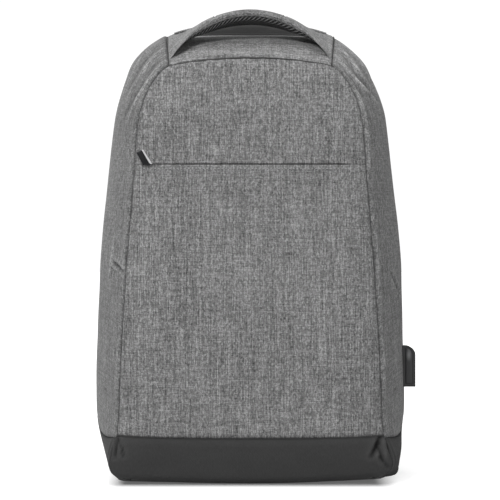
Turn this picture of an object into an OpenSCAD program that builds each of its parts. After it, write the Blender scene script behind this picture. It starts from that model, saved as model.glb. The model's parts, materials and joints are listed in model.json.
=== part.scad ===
// Backpack with a rear-opening main compartment, a concealed front pocket and a side charging port.
// Frame: +Z up, the front faces -Y, the wearer's side faces +Y, origin at the centre of the base on the floor. Millimetres.

/* [Body] */
// Width across the widest part of the sides
body_w = 306; // [290:1:320]
// Height of the top seam above the floor
body_h = 436; // [420:1:450]
// Depth from the front seam at the base to the rear edge of the sides
body_d = 122; // [115:1:130]
// How far the front panel leans back from base to top
front_lean = 24; // [16:1:30]
// Thickness of a padded fabric panel
panel_t = 3.5; // [3:0.1:4]
// Height of the dark base band at the front
band_h = 44.6; // [42:0.2:52]
// How much higher the band stands at the rear of the sides
band_rise = 20; // [12:1:26]

/* [Front pocket] */
// Height of the concealed pocket slit
slit_z = 300; // [292:1:306]
// Width of the slit between the two panels
slit_gap = 2.2; // [2:0.1:3]
// Travel of the pocket slider
slit_travel = 186; // [170:1:190]
// Width of the pull tab
tab_w = 7.2; // [6:0.1:8]
// Lean of the pull tab from upright, in degrees
tab_lean = 31; // [25:1:36]

/* [Handle] */
// Height of the handle's crown
handle_z = 452; // [449:0.5:456]
// Width of the carry handle at its crown
handle_w = 40; // [34:1:40]
// Thickness of the carry handle, cover and pad together
handle_t = 10; // [8:0.5:10]

/* [Charging port] */
// Height of the port housing
port_h = 40; // [36:1:44]
// Width of the port housing
port_w = 19; // [18:1:22]
// How far the housing stands out of the side
port_out = 10.5; // [10:0.5:12]
// Height of the housing's lower face
port_z = 85; // [80:1:90]
// Width of the socket opening
usb_w = 12.5; // [12.4:0.1:12.8]
// Height of the socket opening
usb_h = 5.1; // [5:0.1:5.4]

/* [Shoulder straps] */
// Width of the padded strap at the shoulder
strap_w = 62; // [54:1:68]
// Thickness of the padded strap
strap_t = 12; // [10:1:14]
// Width of the webbing
web_w = 25; // [24:1:26]
// Thickness of the webbing
web_t = 1.6; // [1.4:0.1:2]

/* [Hidden] */

kx = body_w / 306;
kz = body_h / 436.5;
y_b = 56;                 // rear edge of the sides
y_f = y_b - body_d;       // front seam at the floor
gap = 0.3;                // clearance between sewn neighbours

// Outline control points, right half, from the middle of the bottom to the middle of the top, as [x, z].
// Seam round the front panel:
F0 = [[0,0],[60,0],[112,0],[128,5],[132,16],[127.8,34],[124.8,50],[123.4,90],[121.8,130],[119.6,169],[116.8,214],
      [113.3,258],[110.2,299],[108.6,326],[105.6,348],[98.8,368.5],[89.5,384],[77.4,394.2],[50,399.4],[26,401.8],[0,402.6]];
// Rear edge of the sides and top, straight between 64 and 220 high where the zip sliders run:
B0 = [[0,0],[60,0],[114,0],[132.5,5],[141.5,18],[148.8,40],[150.9,64],[149.85,102],[148.75,142],[147.65,182],[146.6,220],
      [144.6,262],[141.4,304],[137.4,336],[132.6,361],[124.2,388],[112,411.5],[83.5,434],[56,437],[28,438],[0,438]];
F = [for (p = F0) [p.x * kx, p.y * kz]];
B = [for (p = B0) [p.x * kx, p.y * kz]];
zip_a = atan2((150.9 - 146.6) * kx, 156 * kz);   // lean of the straight zip run from upright

function ctl(T, i) = i < 0 ? [-T[-i].x, T[-i].y] : i > 20 ? [-T[40 - i].x, T[40 - i].y] : T[i];
function cr(a, b, c, d, t) = 0.5 * (2 * b + (c - a) * t + (2 * a - 5 * b + 4 * c - d) * t * t + (3 * b - a - 3 * c + d) * t * t * t);
function half(T, k) = let (i = min(19, floor(k)), p = cr(ctl(T, i - 1), ctl(T, i), ctl(T, i + 1), ctl(T, i + 2), k - i)) [p.x, max(0, p.y)];
function loop(T, k) = k < 0 ? let (p = half(T, -k)) [-p.x, p.y] : k > 20 ? let (p = half(T, 40 - k)) [-p.x, p.y] : half(T, k);
function ease(s) = 1 - (1 - s) * (1 - s);
function ramp(a, b, v) = let (t = max(0, min(1, (v - a) / (b - a)))) t * t * (3 - 2 * t);
function mix(a, b, t) = a + (b - a) * t;
function y_seam(z) = y_f + front_lean * pow(max(0, z) / (402.6 * kz), 1.3);
function kk(k) = k > 20 ? 40 - k : abs(k);
function belly(k) = 4.4 * kx * ramp(3.5, 7.5, kk(k)) * (1 - ramp(9.5, 12.5, kk(k))) + 1.5 * ramp(12, 15, kk(k));
function lp(k, s) = mix(loop(F, k), loop(B, k), ease(s));
// Point on the side, top or bottom skin: k runs round the outline, s from front seam to rear edge, d is the depth below the skin
function gp(k, s, d = 0) =
  let (p = lp(k, s), q = lp(k + 0.04, s) - lp(k - 0.04, s), t = q / norm(q), n = [t.y, -t.x],
       h = belly(k) * sin(180 * pow(s, 1.8)) - d, z = loop(F, k).y)
  [p.x + n.x * h, mix(y_seam(z), y_b, s), max(d > 0 ? 0.2 : 0, p.y + n.y * h)];
FT = [for (k = [2:0.25:20]) let (p = half(F, k)) [p.y, p.x]];
function hw(z) = lookup(z, FT);
function puff(z) = mix(9.5, 6, ramp(120 * kz, 300 * kz, z)) * ramp(-14, 40, z) * (1 - 0.35 * ramp(340 * kz, 402 * kz, z));
// Front skin: u runs -1 to 1 across, z is height, d is the depth below the skin
function fp(u, z, d = 0) = [u * hw(z), y_seam(z) - puff(z) * (1 - pow(abs(u), 10)) + 5 * pow(1 - ramp(0, 9, z), 2) * (1 - pow(abs(u), 8)) + d, z];
function band_z(s) = band_h - 4 * ramp(0, 0.35, s) + band_rise * ramp(0.5, 1.05, s);
function band_k(s) = 5 + (band_z(s) / kz - 34 - 6 * ease(s)) / (16 + 8 * ease(s));

// Closed solid between an outer and an inner grid of points with the same rows and columns
module slab(o, n) {
  r = len(o); c = len(o[0]); m = r * c;
  pts = [for (g = [o, n]) for (row = g) for (p = row) p];
  function id(g, i, j) = g * m + i * c + j;
  polyhedron(pts, [
    for (i = [0:r - 2]) for (j = [0:c - 2]) each [
      [id(0, i, j), id(0, i + 1, j), id(0, i + 1, j + 1)], [id(0, i, j), id(0, i + 1, j + 1), id(0, i, j + 1)],
      [id(1, i, j), id(1, i + 1, j + 1), id(1, i + 1, j)], [id(1, i, j), id(1, i, j + 1), id(1, i + 1, j + 1)]],
    for (j = [0:c - 2]) each [
      [id(0, 0, j), id(0, 0, j + 1), id(1, 0, j + 1)], [id(0, 0, j), id(1, 0, j + 1), id(1, 0, j)],
      [id(0, r - 1, j), id(1, r - 1, j + 1), id(0, r - 1, j + 1)], [id(0, r - 1, j), id(1, r - 1, j), id(1, r - 1, j + 1)]],
    for (i = [0:r - 2]) each [
      [id(0, i, 0), id(1, i + 1, 0), id(0, i + 1, 0)], [id(0, i, 0), id(1, i, 0), id(1, i + 1, 0)],
      [id(0, i, c - 1), id(0, i + 1, c - 1), id(1, i + 1, c - 1)], [id(0, i, c - 1), id(1, i + 1, c - 1), id(1, i, c - 1)]]
  ], convexity = 6);
}

// Closed solid swept through a list of equal rings
module sweep(rings) {
  r = len(rings); c = len(rings[0]);
  polyhedron([for (g = rings) for (p = g) p], concat(
    [[for (j = [0:c - 1]) j]],
    [[for (j = [0:c - 1]) (r - 1) * c + c - 1 - j]],
    [for (i = [0:r - 2]) for (j = [0:c - 1]) let (a = i * c + j, b = i * c + (j + 1) % c) each [[a, b + c, b], [a, a + c, b + c]]]),
    convexity = 4);
}

module front_skin(z0, z1, rows) {
  zs = [for (i = [0:rows]) mix(z0, z1, i / rows)];
  us = [for (j = [-12:12]) sign(j) * pow(abs(j) / 12, 0.72)];
  slab([for (z = zs) [for (u = us) fp(u, z)]], [for (z = zs) [for (u = us) fp(u, z, panel_t)]]);
}

module side_skin(k0, k1, rows, cols) {
  ss = [for (j = [0:cols]) mix((panel_t + 1) / body_d, 1, j / cols)];
  function kf(s, v) = mix(k0 < 0 ? band_k(s) + 0.02 : k0, k1 < 0 ? band_k(s) - 0.02 : k1, v);
  slab([for (i = [0:rows]) [for (s = ss) gp(kf(s, i / rows), s)]],
       [for (i = [0:rows]) [for (s = ss) gp(kf(s, i / rows), s, panel_t)]]);
}

// A flat ring or plate in the upright plane, between two insets of the rear outline
module upright(y0, y1) translate([0, y1, 0]) rotate([90, 0, 0]) linear_extrude(y1 - y0) children();
module outline(d) offset(delta = -d) polygon([for (k = [-19.5:0.5:20]) loop(B, k)]);

// Front panels
module front_panel_upper() color([0.46, 0.46, 0.46]) front_skin(slit_z + slit_gap / 2, 402 * kz, 12);
module front_panel_lower() color([0.46, 0.46, 0.46]) front_skin(band_h + 0.15, slit_z - slit_gap / 2, 20);
module base_front() color([0.2, 0.2, 0.2]) front_skin(0, band_h - 0.15, 8);

// Sides, top and base
module side_gusset_right() color([0.44, 0.44, 0.44]) difference() {
  side_skin(-1, 16.97, 26, 11);
  translate([130, port_y - port_w / 2 - 0.3, port_z - 0.3]) cube([40, port_w + 0.6, port_h + 0.6]);
}
module side_gusset_left() color([0.44, 0.44, 0.44]) mirror([1, 0, 0]) side_skin(-1, 16.97, 26, 11);
module top_panel() color([0.45, 0.45, 0.45]) side_skin(17.03, 22.97, 12, 11);
module base_side_right() color([0.2, 0.2, 0.2]) side_skin(2.05, -1, 8, 11);
module base_side_left() color([0.2, 0.2, 0.2]) mirror([1, 0, 0]) side_skin(2.05, -1, 8, 11);
base_pts = concat(
  [for (i = [-8:8]) let (q = fp(0.95 * i / 8, 0.01, panel_t + 0.5)) [q.x, q.y]],
  [for (s = [0.06:0.1:0.97]) [gp(2, s).x - 0.6, gp(2, s).y]],
  [[gp(2, 1).x - 0.6, y_b], [-gp(2, 1).x + 0.6, y_b]],
  [for (s = [0.96:-0.1:0.05]) [-gp(2, s).x + 0.6, gp(2, s).y]]);
module base_bottom() color([0.18, 0.18, 0.18]) linear_extrude(panel_t) polygon(base_pts);
module base_board() color([0.1, 0.1, 0.1]) translate([0, 0, panel_t + gap]) linear_extrude(2.4) offset(delta = -6) polygon(base_pts);
module rear_sill() color([0.18, 0.18, 0.18]) translate([-108 * kx, y_b - 3, panel_t + gap]) cube([216 * kx, 3, 9.5]);

// The rear panel folds down about this cord
hinge_y = 58.5;
hinge_z = 14.5;
module door_hinge_piping() color([0.12, 0.12, 0.12]) {
  translate([-108 * kx, hinge_y, hinge_z]) rotate([0, 90, 0]) cylinder(h = 216 * kx, r = 1.5, $fn = 32);
}

// Front pocket: a concealed zip behind the slit
zy = fp(0, slit_z).y + panel_t + 6;       // middle of the zip
slit_x0 = -103 * kx;
slit_x1 = 98 * kx;
rest_x = -95 * kx;                         // slider at rest, pocket closed
module pocket_zip_tape() color([0.1, 0.1, 0.1]) for (m = [0, 1]) translate([0, 0, slit_z]) mirror([0, 0, m]) {
  translate([slit_x0, zy - 0.4, 0.8]) cube([slit_x1 - slit_x0, 0.8, 12]);
  translate([slit_x0, zy - 1.1, 0.8]) cube([slit_x1 - slit_x0, 2.2, 2.2]);
}
module pocket_lining() color([0.13, 0.13, 0.13]) difference() {
  translate([-105 * kx, zy + 1.4, band_h + 12]) cube([210 * kx, 11.6, slit_z + 16 - band_h - 12]);
  translate([-105 * kx + 1, zy, band_h + 13]) cube([210 * kx - 2, 12, slit_z + 16 - band_h - 14]);
}

// Zip slider seen along the tape normal: plates above and below the chain, a post between the chain halves, and a lug for the pull
module slider_plates(post = 1.0) {
  for (s = [-1, 1]) translate([0, s * 2.0, 0]) rotate([90, 0, 0]) linear_extrude(1.0, center = true)
    polygon([[-5, -2.6], [-3, -3.9], [4, -3.9], [5, -3], [5, 3], [4, 3.9], [-3, 3.9], [-5, 2.6]]);
  translate([-1.5, -2, -post / 2]) cube([3, 4, post]);
}
pin_y = fp(0, slit_z).y - 1.45;
module along_pull() translate([rest_x, pin_y, slit_z]) rotate([0, -tab_lean, 0]) children();
module pocket_slider() color([0.16, 0.16, 0.17]) {
  difference() {
    union() {
      translate([rest_x, zy, slit_z]) slider_plates();
      translate([rest_x - 1, pin_y, slit_z - 0.7]) cube([2, zy - 2 - pin_y, 1.4]);
      along_pull() rotate([0, 90, 0]) cylinder(h = 2, r = 1.15, center = true, $fn = 32);
    }
    along_pull() rotate([0, 90, 0]) cylinder(h = 8, r = 0.65, center = true, $fn = 32);
  }
}
// Flat pull tab whose lower end is cut level with the slit
module pocket_pull() color([0.13, 0.13, 0.14]) {
  along_pull() {
    rotate([0, 90, 0]) cylinder(h = 4.4, r = 0.58, center = true, $fn = 32);
    for (s = [-1, 1]) translate([s * 1.65, 0, 0]) rotate([0, 90, 0]) cylinder(h = 1.1, r = 0.95, center = true, $fn = 32);
    difference() {
      for (s = [-1, 1]) translate([s * 1.65 - 0.55, -0.95, 0]) cube([1.1, 1.9, 3]);
      rotate([0, 90, 0]) cylinder(h = 8, r = 0.3, center = true, $fn = 24);
    }
  }
  difference() {
    along_pull() translate([-tab_w / 2, -0.95, 1.6]) cube([tab_w, 1.9, 16.4]);
    along_pull() translate([tab_w / 2 - 1.9, -2, -1]) cube([1.0, 1.5, 30]);
    translate([rest_x - 20, pin_y - 5, slit_z - 20]) cube([40, 10, 20 + 1.5]);
  }
}
module pocket_pull_trim() color([0.85, 0.85, 0.86]) difference() {
  along_pull() translate([tab_w / 2 - 1.87, -1.12, 3.1]) cube([0.94, 0.6, 14.7]);
  translate([rest_x - 20, pin_y - 5, slit_z - 20]) cube([40, 10, 20 + 1.5]);
}

// Carry handle: a grip between two ends sewn into the top seams; cut square where the grip meets the ends
handle_u = 0.8;
function hc(u) = [u * 76 * kx, mix(-7, -5, u * u), handle_z - handle_t / 2 - 29 * kz * u * u];
handle_pivot = hc(handle_u);
function htilt(u) = 27 * pow(abs(u) / 0.93, 2.2);
function hthick(u) = 1 - 0.78 * ramp(0.5, 0.93, abs(u));
function hring(u, w, lo, hi) = let (c = hc(u), m = 58 * kz * abs(u) / (76 * kx), q = hthick(u) * sqrt(1 + m * m), a = htilt(u), b = [0, cos(a), sin(a)], n = [0, -sin(a), cos(a)])
  [for (p = [[-1, lo + 1], [-0.92, lo], [0.92, lo], [1, lo + 1], [1, hi - 1.8], [0.84, hi], [-0.84, hi], [-1, hi - 1.8]]) c + b * (p.x * w / 2) + n * (p.y * q)];
module handle_sleeve() color([0.47, 0.47, 0.47]) sweep([for (i = [-14:14]) hring(handle_u * i / 14, handle_w, -0.7, handle_t / 2)]);
module handle_pad() color([0.07, 0.07, 0.07]) sweep([for (i = [-14:14]) hring(0.72 * i / 14, handle_w - 3, -handle_t / 2, -2.2)]);
module handle_tabs() color([0.45, 0.45, 0.45]) for (m = [0, 1]) mirror([m, 0, 0])
  sweep([for (u = [0.804, 0.85, 0.89, 0.93]) hring(u, handle_w, -0.7, handle_t / 2)]);
module handle_anchors() color([0.1, 0.1, 0.1]) for (m = [0, 1]) mirror([m, 0, 0])
  slab([for (v = [0:4]) [for (s = [0:5]) gp(mix(16.7, 17.3, v / 4), mix(0.15, 0.6, s / 5), panel_t + 1.2)]],
       [for (v = [0:4]) [for (s = [0:5]) gp(mix(16.7, 17.3, v / 4), mix(0.15, 0.6, s / 5), panel_t + 2.7)]]);

// Charging port
port_y = 18;
port_x = gp(7.05, (port_y - y_f) / body_d).x;   // skin of the side at the port
module port_profile(g = 0) translate([port_x - 9 + g, port_z + g]) {
  r = port_out - 1.5;
  square([9 + port_out - 2 * g, port_h - r - 2 * g + g]);
  square([9 + port_out - r - g, port_h - 2 * g]);
  translate([9 + port_out - r - g, port_h - r - g]) circle(r = r - g, $fn = 64);
}
sock_x = port_x + port_out - 5.3;
module port_housing() color([0.08, 0.08, 0.08]) difference() {
  union() {
    translate([0, port_y + port_w / 2 - 1.2, 0]) rotate([90, 0, 0]) linear_extrude(port_w - 2.4) port_profile();
    translate([0, port_y + port_w / 2, 0]) rotate([90, 0, 0]) linear_extrude(port_w) port_profile(1.2);
  }
  translate([sock_x - 3.5, port_y - 7.3, port_z - 1]) cube([7, 14.6, 16]);
  translate([sock_x, port_y, port_z + 10]) cylinder(h = 17, r = 1.9, $fn = 32);
  translate([port_x - 12, port_y, port_z + 25]) rotate([0, 90, 0]) cylinder(h = sock_x - port_x + 13, r = 1.9, $fn = 32);
}
module port_flange() color([0.1, 0.1, 0.1]) difference() {
  translate([port_x - 11, port_y - port_w / 2 - 4, port_z - 5]) cube([1.7, port_w + 8, port_h + 10]);
  translate([port_x - 15, port_y, port_z + 25]) rotate([0, 90, 0]) cylinder(h = 8, r = 2.6, $fn = 32);
}
module usb_shell() color([0.75, 0.75, 0.77]) difference() {
  translate([sock_x - usb_h / 2 - 0.35, port_y - usb_w / 2 - 0.35, port_z + 0.4]) cube([usb_h + 0.7, usb_w + 0.7, 14]);
  translate([sock_x - usb_h / 2, port_y - usb_w / 2, port_z - 1]) cube([usb_h, usb_w, 14]);
}
module usb_tongue() color([0.9, 0.9, 0.88]) translate([sock_x - usb_h / 2 + 0.72, port_y - 5.55, port_z + 1.6]) cube([1.84, 11.1, 11.2]);
module usb_contacts() color([0.8, 0.65, 0.3]) for (i = [-3.5, -1, 1, 3.5]) translate([sock_x - usb_h / 2 + 2.58, port_y + i - 0.5, port_z + 2.4]) cube([0.2, 1, 9]);

// Charging cable inside the bag, from the port to the plug in the power bank
bank = [119, -14, 10];          // near lower corner of the power bank
bank_s = [11, 60, 96];          // its size
plug_x = bank.x + bank_s.x / 2;
plug_y = 16;
cab = [[port_x - 11.4, port_y, port_z + 25], [port_x - 14.5, port_y, port_z + 25.4], [port_x - 16.6, port_y - 1, port_z + 28.5], [port_x - 16.6, port_y - 2, port_z + 38],
       [port_x - 17.2, port_y - 3, port_z + 54], [port_x - 20, port_y - 3, port_z + 62], [plug_x + 3.5, plug_y, 149.5], [plug_x + 0.6, plug_y, 145], [plug_x, plug_y, 139.5]];
function cpt(k) = let (i = min(len(cab) - 2, floor(k)), a = cab[max(0, i - 1)], b = cab[i], c = cab[i + 1], d = cab[min(len(cab) - 1, i + 2)]) cr(a, b, c, d, k - i);
function cring(k) = let (c = cpt(k), q = cpt(min(len(cab) - 1.01, k + 0.05)) - cpt(max(0, k - 0.05)), t = q / norm(q), b = cross(t, [0, 1, 0]) / norm(cross(t, [0, 1, 0])), n = cross(b, t))
  [for (a = [0:45:315]) c + b * (1.6 * cos(a)) + n * (1.6 * sin(a))];
module usb_cable() color([0.06, 0.06, 0.06]) sweep([for (k = [0:0.25:len(cab) - 1.02]) cring(k)]);
plug_z = bank.z + bank_s.z;
module usb_plug_boot() color([0.07, 0.07, 0.07]) {
  translate([plug_x - 4.2, plug_y - 8, plug_z + 1.2]) cube([8.4, 16, 22]);
  translate([plug_x, plug_y, plug_z + 23.2]) cylinder(h = 7.5, r1 = 3, r2 = 2.2, $fn = 40);
}
module usb_plug_shell() color([0.78, 0.78, 0.8]) translate([0, 0, plug_z - 10.6]) difference() {
  translate([plug_x - 2.25, plug_y - 6, 0]) cube([4.5, 12, 11.7]);
  translate([plug_x - 1.95, plug_y - 5.7, -1]) cube([3.9, 11.4, 10]);
}
module power_bank_case() color([0.14, 0.14, 0.15]) difference() {
  translate(bank) cube(bank_s);
  translate([plug_x - 2.5, plug_y - 6.3, plug_z - 11.5]) cube([5, 12.6, 20]);
  translate([bank.x - 1, 38, plug_z - 16]) rotate([0, 90, 0]) cylinder(h = 3.2, r = 3.6, $fn = 40);
}
module power_bank_button() color([0.3, 0.3, 0.32]) translate([bank.x - 0.2, 38, plug_z - 16]) rotate([0, 90, 0]) cylinder(h = 1.4, r = 3.3, $fn = 40);
module power_bank_pocket() color([0.1, 0.1, 0.1]) translate([bank.x - 1.4, bank.y - 1.4, bank.z - 1.4]) difference() {
  cube([1, bank_s.y + 2.8, 72]);
  for (z = [14:11:58]) for (y = [8:11:56]) translate([-1, y, z]) rotate([0, 90, 0]) cylinder(h = 3, r = 2.2, $fn = 24);
}

// Main zip: one tape on the shell, one on the rear panel
module zip_area() translate([-200, 26]) square([400, 500]);
module main_zip_tape_shell() color([0.1, 0.1, 0.1]) {
  upright(54.6, 55.4) intersection() { difference() { outline(panel_t + 0.5); outline(10.2); } zip_area(); }
  upright(53.7, 56.3) intersection() { difference() { outline(8.2); outline(10.2); } zip_area(); }
}
module main_zip_tape_door() color([0.1, 0.1, 0.1]) {
  upright(54.6, 55.4) intersection() { difference() { outline(11.8); outline(24); } zip_area(); }
  upright(53.7, 56.3) intersection() { difference() { outline(11.8); outline(13.8); } zip_area(); }
}
// Sliders meet on the straight run of the left side
zs_z = 150;
function zs_p(z) = -(mix(150.9, 146.6, (z - 64 * kz) / (156 * kz)) * kx - 11 / cos(zip_a));
module on_zip(z) translate([zs_p(z), 55, z]) rotate([0, zip_a, 0]) rotate([0, -90, 0]) mirror([0, 1, 0]) children();
module main_slider(z, dir) color([0.16, 0.16, 0.17]) on_zip(z) scale([dir, 1, 1]) difference() {
  union() {
    slider_plates();
    translate([1.2, -4.9, -0.7]) cube([2.6, 2.6, 1.4]);
  }
  translate([2.5, -3.9, -3]) cylinder(h = 6, r = 0.5, $fn = 24);
}
module main_pull(z, dir) color([0.13, 0.13, 0.14]) on_zip(z) scale([dir, 1, 1]) {
  translate([2.5, -3.9, -2.2]) cylinder(h = 4.4, r = 0.44, $fn = 24);
  for (s = [-1, 1]) difference() {
    translate([1.55, -4.6, s * 1.6 - 0.5]) cube([26, 1.4, 1.0]);
    translate([2.5, -3.9, -3]) cylinder(h = 6, r = 0.2, $fn = 24);
  }
  difference() {
    translate([6, -4.7, -3.3]) cube([27, 1.6, 6.6]);
    translate([8, -6, -0.9]) cube([0.5, 4, 1.8]);
  }
}
module main_slider_upper() main_slider(zs_z + 6, 1);
module main_pull_upper() main_pull(zs_z + 6, 1);
module main_slider_lower() main_slider(zs_z - 6, -1);
module main_pull_lower() main_pull(zs_z - 6, -1);

// Rear panel
board_y = 56.8;
board_t = 5.5;
module back_board() color([0.13, 0.13, 0.13]) upright(board_y, board_y + board_t) intersection() { outline(16.5); translate([-200, 17.3]) square([400, 500]); }
pad_y = board_y + board_t + gap;
module pad(pts, t) hull() for (l = [[0, 0], [t * 0.6, 0.4], [t, 4.5]]) upright(pad_y + l.x * 0.999, pad_y + l.x + 0.01) offset(r = 9 - l.y, $fn = 32) offset(delta = -9) polygon(pts);
module back_pads() color([0.1, 0.1, 0.1]) {
  for (m = [0, 1]) mirror([m, 0, 0]) {
    pad([[7, 140], [114, 140], [112, 250], [100, 345], [80, 372], [7, 372]], 11);
    pad([[7, 30], [106, 30], [114, 60], [114, 128], [7, 128]], 11);
  }
}
// Padded top of the rear panel, standing above the top seam, where the straps are sewn
module back_yoke() color([0.45, 0.45, 0.45]) hull() for (l = [[0, 0], [3, -2.2], [8.5, -2.2], [12, 2.5]]) upright(pad_y + l.x * 0.95, pad_y + l.x * 0.95 + 0.01)
  offset(delta = -2.2 - l.y) polygon(concat([for (x = [86:-4:-86]) [x * kx, 421 * kz + 28 * sqrt(1 - pow(x / 100, 2))]], [[-86 * kx, 381], [86 * kx, 381]]));
// Hems on the yoke that hold the tops of the straps
module strap_hems() color([0.45, 0.45, 0.45]) for (m = [0, 1]) mirror([m, 0, 0]) difference() {
  translate([anchor.x - strap_w / 2, anchor.y, anchor.z]) rotate([0, 90, 0]) cylinder(h = strap_w, r = 7.3, $fn = 64);
  translate([anchor.x - strap_w / 2 - 1, anchor.y, anchor.z]) rotate([0, 90, 0]) cylinder(h = strap_w + 2, r = 5.5, $fn = 64);
  translate([anchor.x - strap_w / 2 - 1, anchor.y - 5.6, anchor.z - 20]) cube([strap_w + 2, 20, 20 + 1.2]);
}
module laptop_sleeve() color([0.15, 0.15, 0.15]) {
  translate([-110, 29, 17]) cube([220, 4, 255]);
  translate([-110, 33, 17]) cube([220, board_y - 33 - gap, 2]);
  for (s = [-1, 1]) translate([s * 109 - 1, 33, 19]) cube([2, board_y - 33 - gap, 200]);
}
strap_piv = [0, 54.5, 330];
module laptop_strap() color([0.08, 0.08, 0.08]) {
  translate([-22, 54.5, 330]) rotate([0, 90, 0]) cylinder(h = 44, r = 1.4, $fn = 32);
  translate([-22, 27.4, 328.9]) cube([44, 26.6, 1.6]);
  translate([-22, 25.8, 262]) cube([44, 1.6, 68.5]);
}

// Shoulder straps
anchor = [44, 81.5, 412];
function sc(v) = [mix(44, 92, ramp(0, 1, v)), mix(82, 85, v) + 24 * sin(180 * pow(v, 0.8)), mix(404, 122, v)];
function swid(v) = mix(strap_w, 44, ramp(0.45, 1, v));
function sring(v) = let (c = sc(v), q = sc(min(1, v + 0.02)) - sc(max(0, v - 0.02)), t = q / norm(q), b0 = [1, 0, 0] - t * t.x, b = b0 / norm(b0), n = cross(t, b), w = swid(v) / 2, h = strap_t / 2)
  [for (p = [[-w, -h + 4], [-w + 3, -h + 1], [-w + 8, -h], [w - 8, -h], [w - 3, -h + 1], [w, -h + 4], [w, h - 4], [w - 3, h - 1], [w - 8, h], [-w + 8, h], [-w + 3, h - 1], [-w, h - 4]]) c + b * p.x + n * p.y];
module strap_pad() {
  sweep([for (i = [0:26]) sring(i / 26)]);
  translate([anchor.x - strap_w / 2 + 3, anchor.y, anchor.z]) rotate([0, 90, 0]) cylinder(h = strap_w - 6, r = 5.2, $fn = 40);
  translate([anchor.x - strap_w / 2 + 3, anchor.y - 2, anchor.z - 11]) cube([strap_w - 6, 5, 9]);
}
module strap_pad_right() color([0.17, 0.17, 0.17]) strap_pad();
module strap_pad_left() color([0.17, 0.17, 0.17]) mirror([1, 0, 0]) strap_pad();
// The ladder lock hangs in a webbing loop at the foot of the pad
lock = [92, 85.4, 108];
module strap_loop() difference() {
  union() {
    translate([lock.x - web_w / 2, lock.y, lock.z]) rotate([0, 90, 0]) cylinder(h = web_w, r = 3.7, $fn = 48);
    translate([lock.x - web_w / 2, lock.y - 1.6, lock.z]) cube([web_w, 3.2, 12.6]);
  }
  translate([lock.x - web_w, lock.y, lock.z]) rotate([0, 90, 0]) cylinder(h = web_w * 2, r = 2.08, $fn = 48);
}
module strap_loop_right() color([0.08, 0.08, 0.08]) strap_loop();
module strap_loop_left() color([0.08, 0.08, 0.08]) mirror([1, 0, 0]) strap_loop();
module ladder_lock() {
  translate([lock.x - 15, lock.y, lock.z]) rotate([0, 90, 0]) cylinder(h = 30, r = 2, $fn = 48);
  for (s = [-1, 1]) translate([lock.x + s * 16.2 - 1.8, lock.y - 3, lock.z - 27]) cube([3.6, 6, 29.5]);
  translate([lock.x - 15, lock.y - 2.6, lock.z - 16]) cube([30, 3.4, 3.6]);
  translate([lock.x - 15, lock.y - 0.6, lock.z - 27]) cube([30, 3.4, 4.2]);
}
module ladder_lock_right() color([0.06, 0.06, 0.06]) ladder_lock();
module ladder_lock_left() color([0.06, 0.06, 0.06]) mirror([1, 0, 0]) ladder_lock();
module webbing_tail() {
  translate([lock.x - web_w / 2, lock.y + 1.2, lock.z - 22.4]) cube([web_w, web_t, 13]);
  translate([lock.x - web_w / 2, lock.y + 3.1, lock.z - 50]) cube([web_w, web_t, 40]);
  translate([lock.x - web_w / 2, lock.y + 1.2, lock.z - 11.4]) cube([web_w, 3.5, 1.6]);
}
module webbing_tail_right() color([0.07, 0.07, 0.07]) webbing_tail();
module webbing_tail_left() color([0.07, 0.07, 0.07]) mirror([1, 0, 0]) webbing_tail();
// Lower webbing from the corner tab towards the ladder lock
wa = [109, 77.1, 36];
wb = [93.8, 82.6, 76.5];
module webbing() {
  d = wb - wa; l = norm(d);
  translate(wa) rotate([0, atan2(d.x, norm([d.y, d.z])), 0]) rotate([-atan2(d.y, d.z), 0, 0]) translate([-web_w / 2, -web_t / 2, 0]) cube([web_w, web_t, l]);
}
module webbing_right() color([0.07, 0.07, 0.07]) webbing();
module webbing_left() color([0.07, 0.07, 0.07]) mirror([1, 0, 0]) webbing();
module strap_tabs() color([0.16, 0.16, 0.16]) for (m = [0, 1]) mirror([m, 0, 0])
  upright(pad_y + 11.3, pad_y + 13) polygon([[92, 22], [122, 22], [122, 34], [118, 46], [96, 52]]);

front_panel_upper();
front_panel_lower();
side_gusset_left();
side_gusset_right();
top_panel();
base_front();
base_side_left();
base_side_right();
base_bottom();
base_board();
rear_sill();
door_hinge_piping();
pocket_zip_tape();
pocket_lining();
pocket_slider();
pocket_pull();
pocket_pull_trim();
handle_tabs();
handle_anchors();
handle_sleeve();
handle_pad();
port_housing();
port_flange();
usb_shell();
usb_tongue();
usb_contacts();
usb_cable();
usb_plug_boot();
usb_plug_shell();
power_bank_case();
power_bank_button();
power_bank_pocket();
main_zip_tape_shell();
main_zip_tape_door();
main_slider_upper();
main_pull_upper();
main_slider_lower();
main_pull_lower();
back_board();
back_pads();
back_yoke();
strap_hems();
laptop_sleeve();
laptop_strap();
strap_pad_left();
strap_pad_right();
strap_loop_left();
strap_loop_right();
ladder_lock_left();
ladder_lock_right();
webbing_tail_left();
webbing_tail_right();
webbing_left();
webbing_right();
strap_tabs();
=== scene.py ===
import bpy, math, json
import numpy as np
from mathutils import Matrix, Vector
from mathutils.geometry import delaunay_2d_cdt

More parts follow.
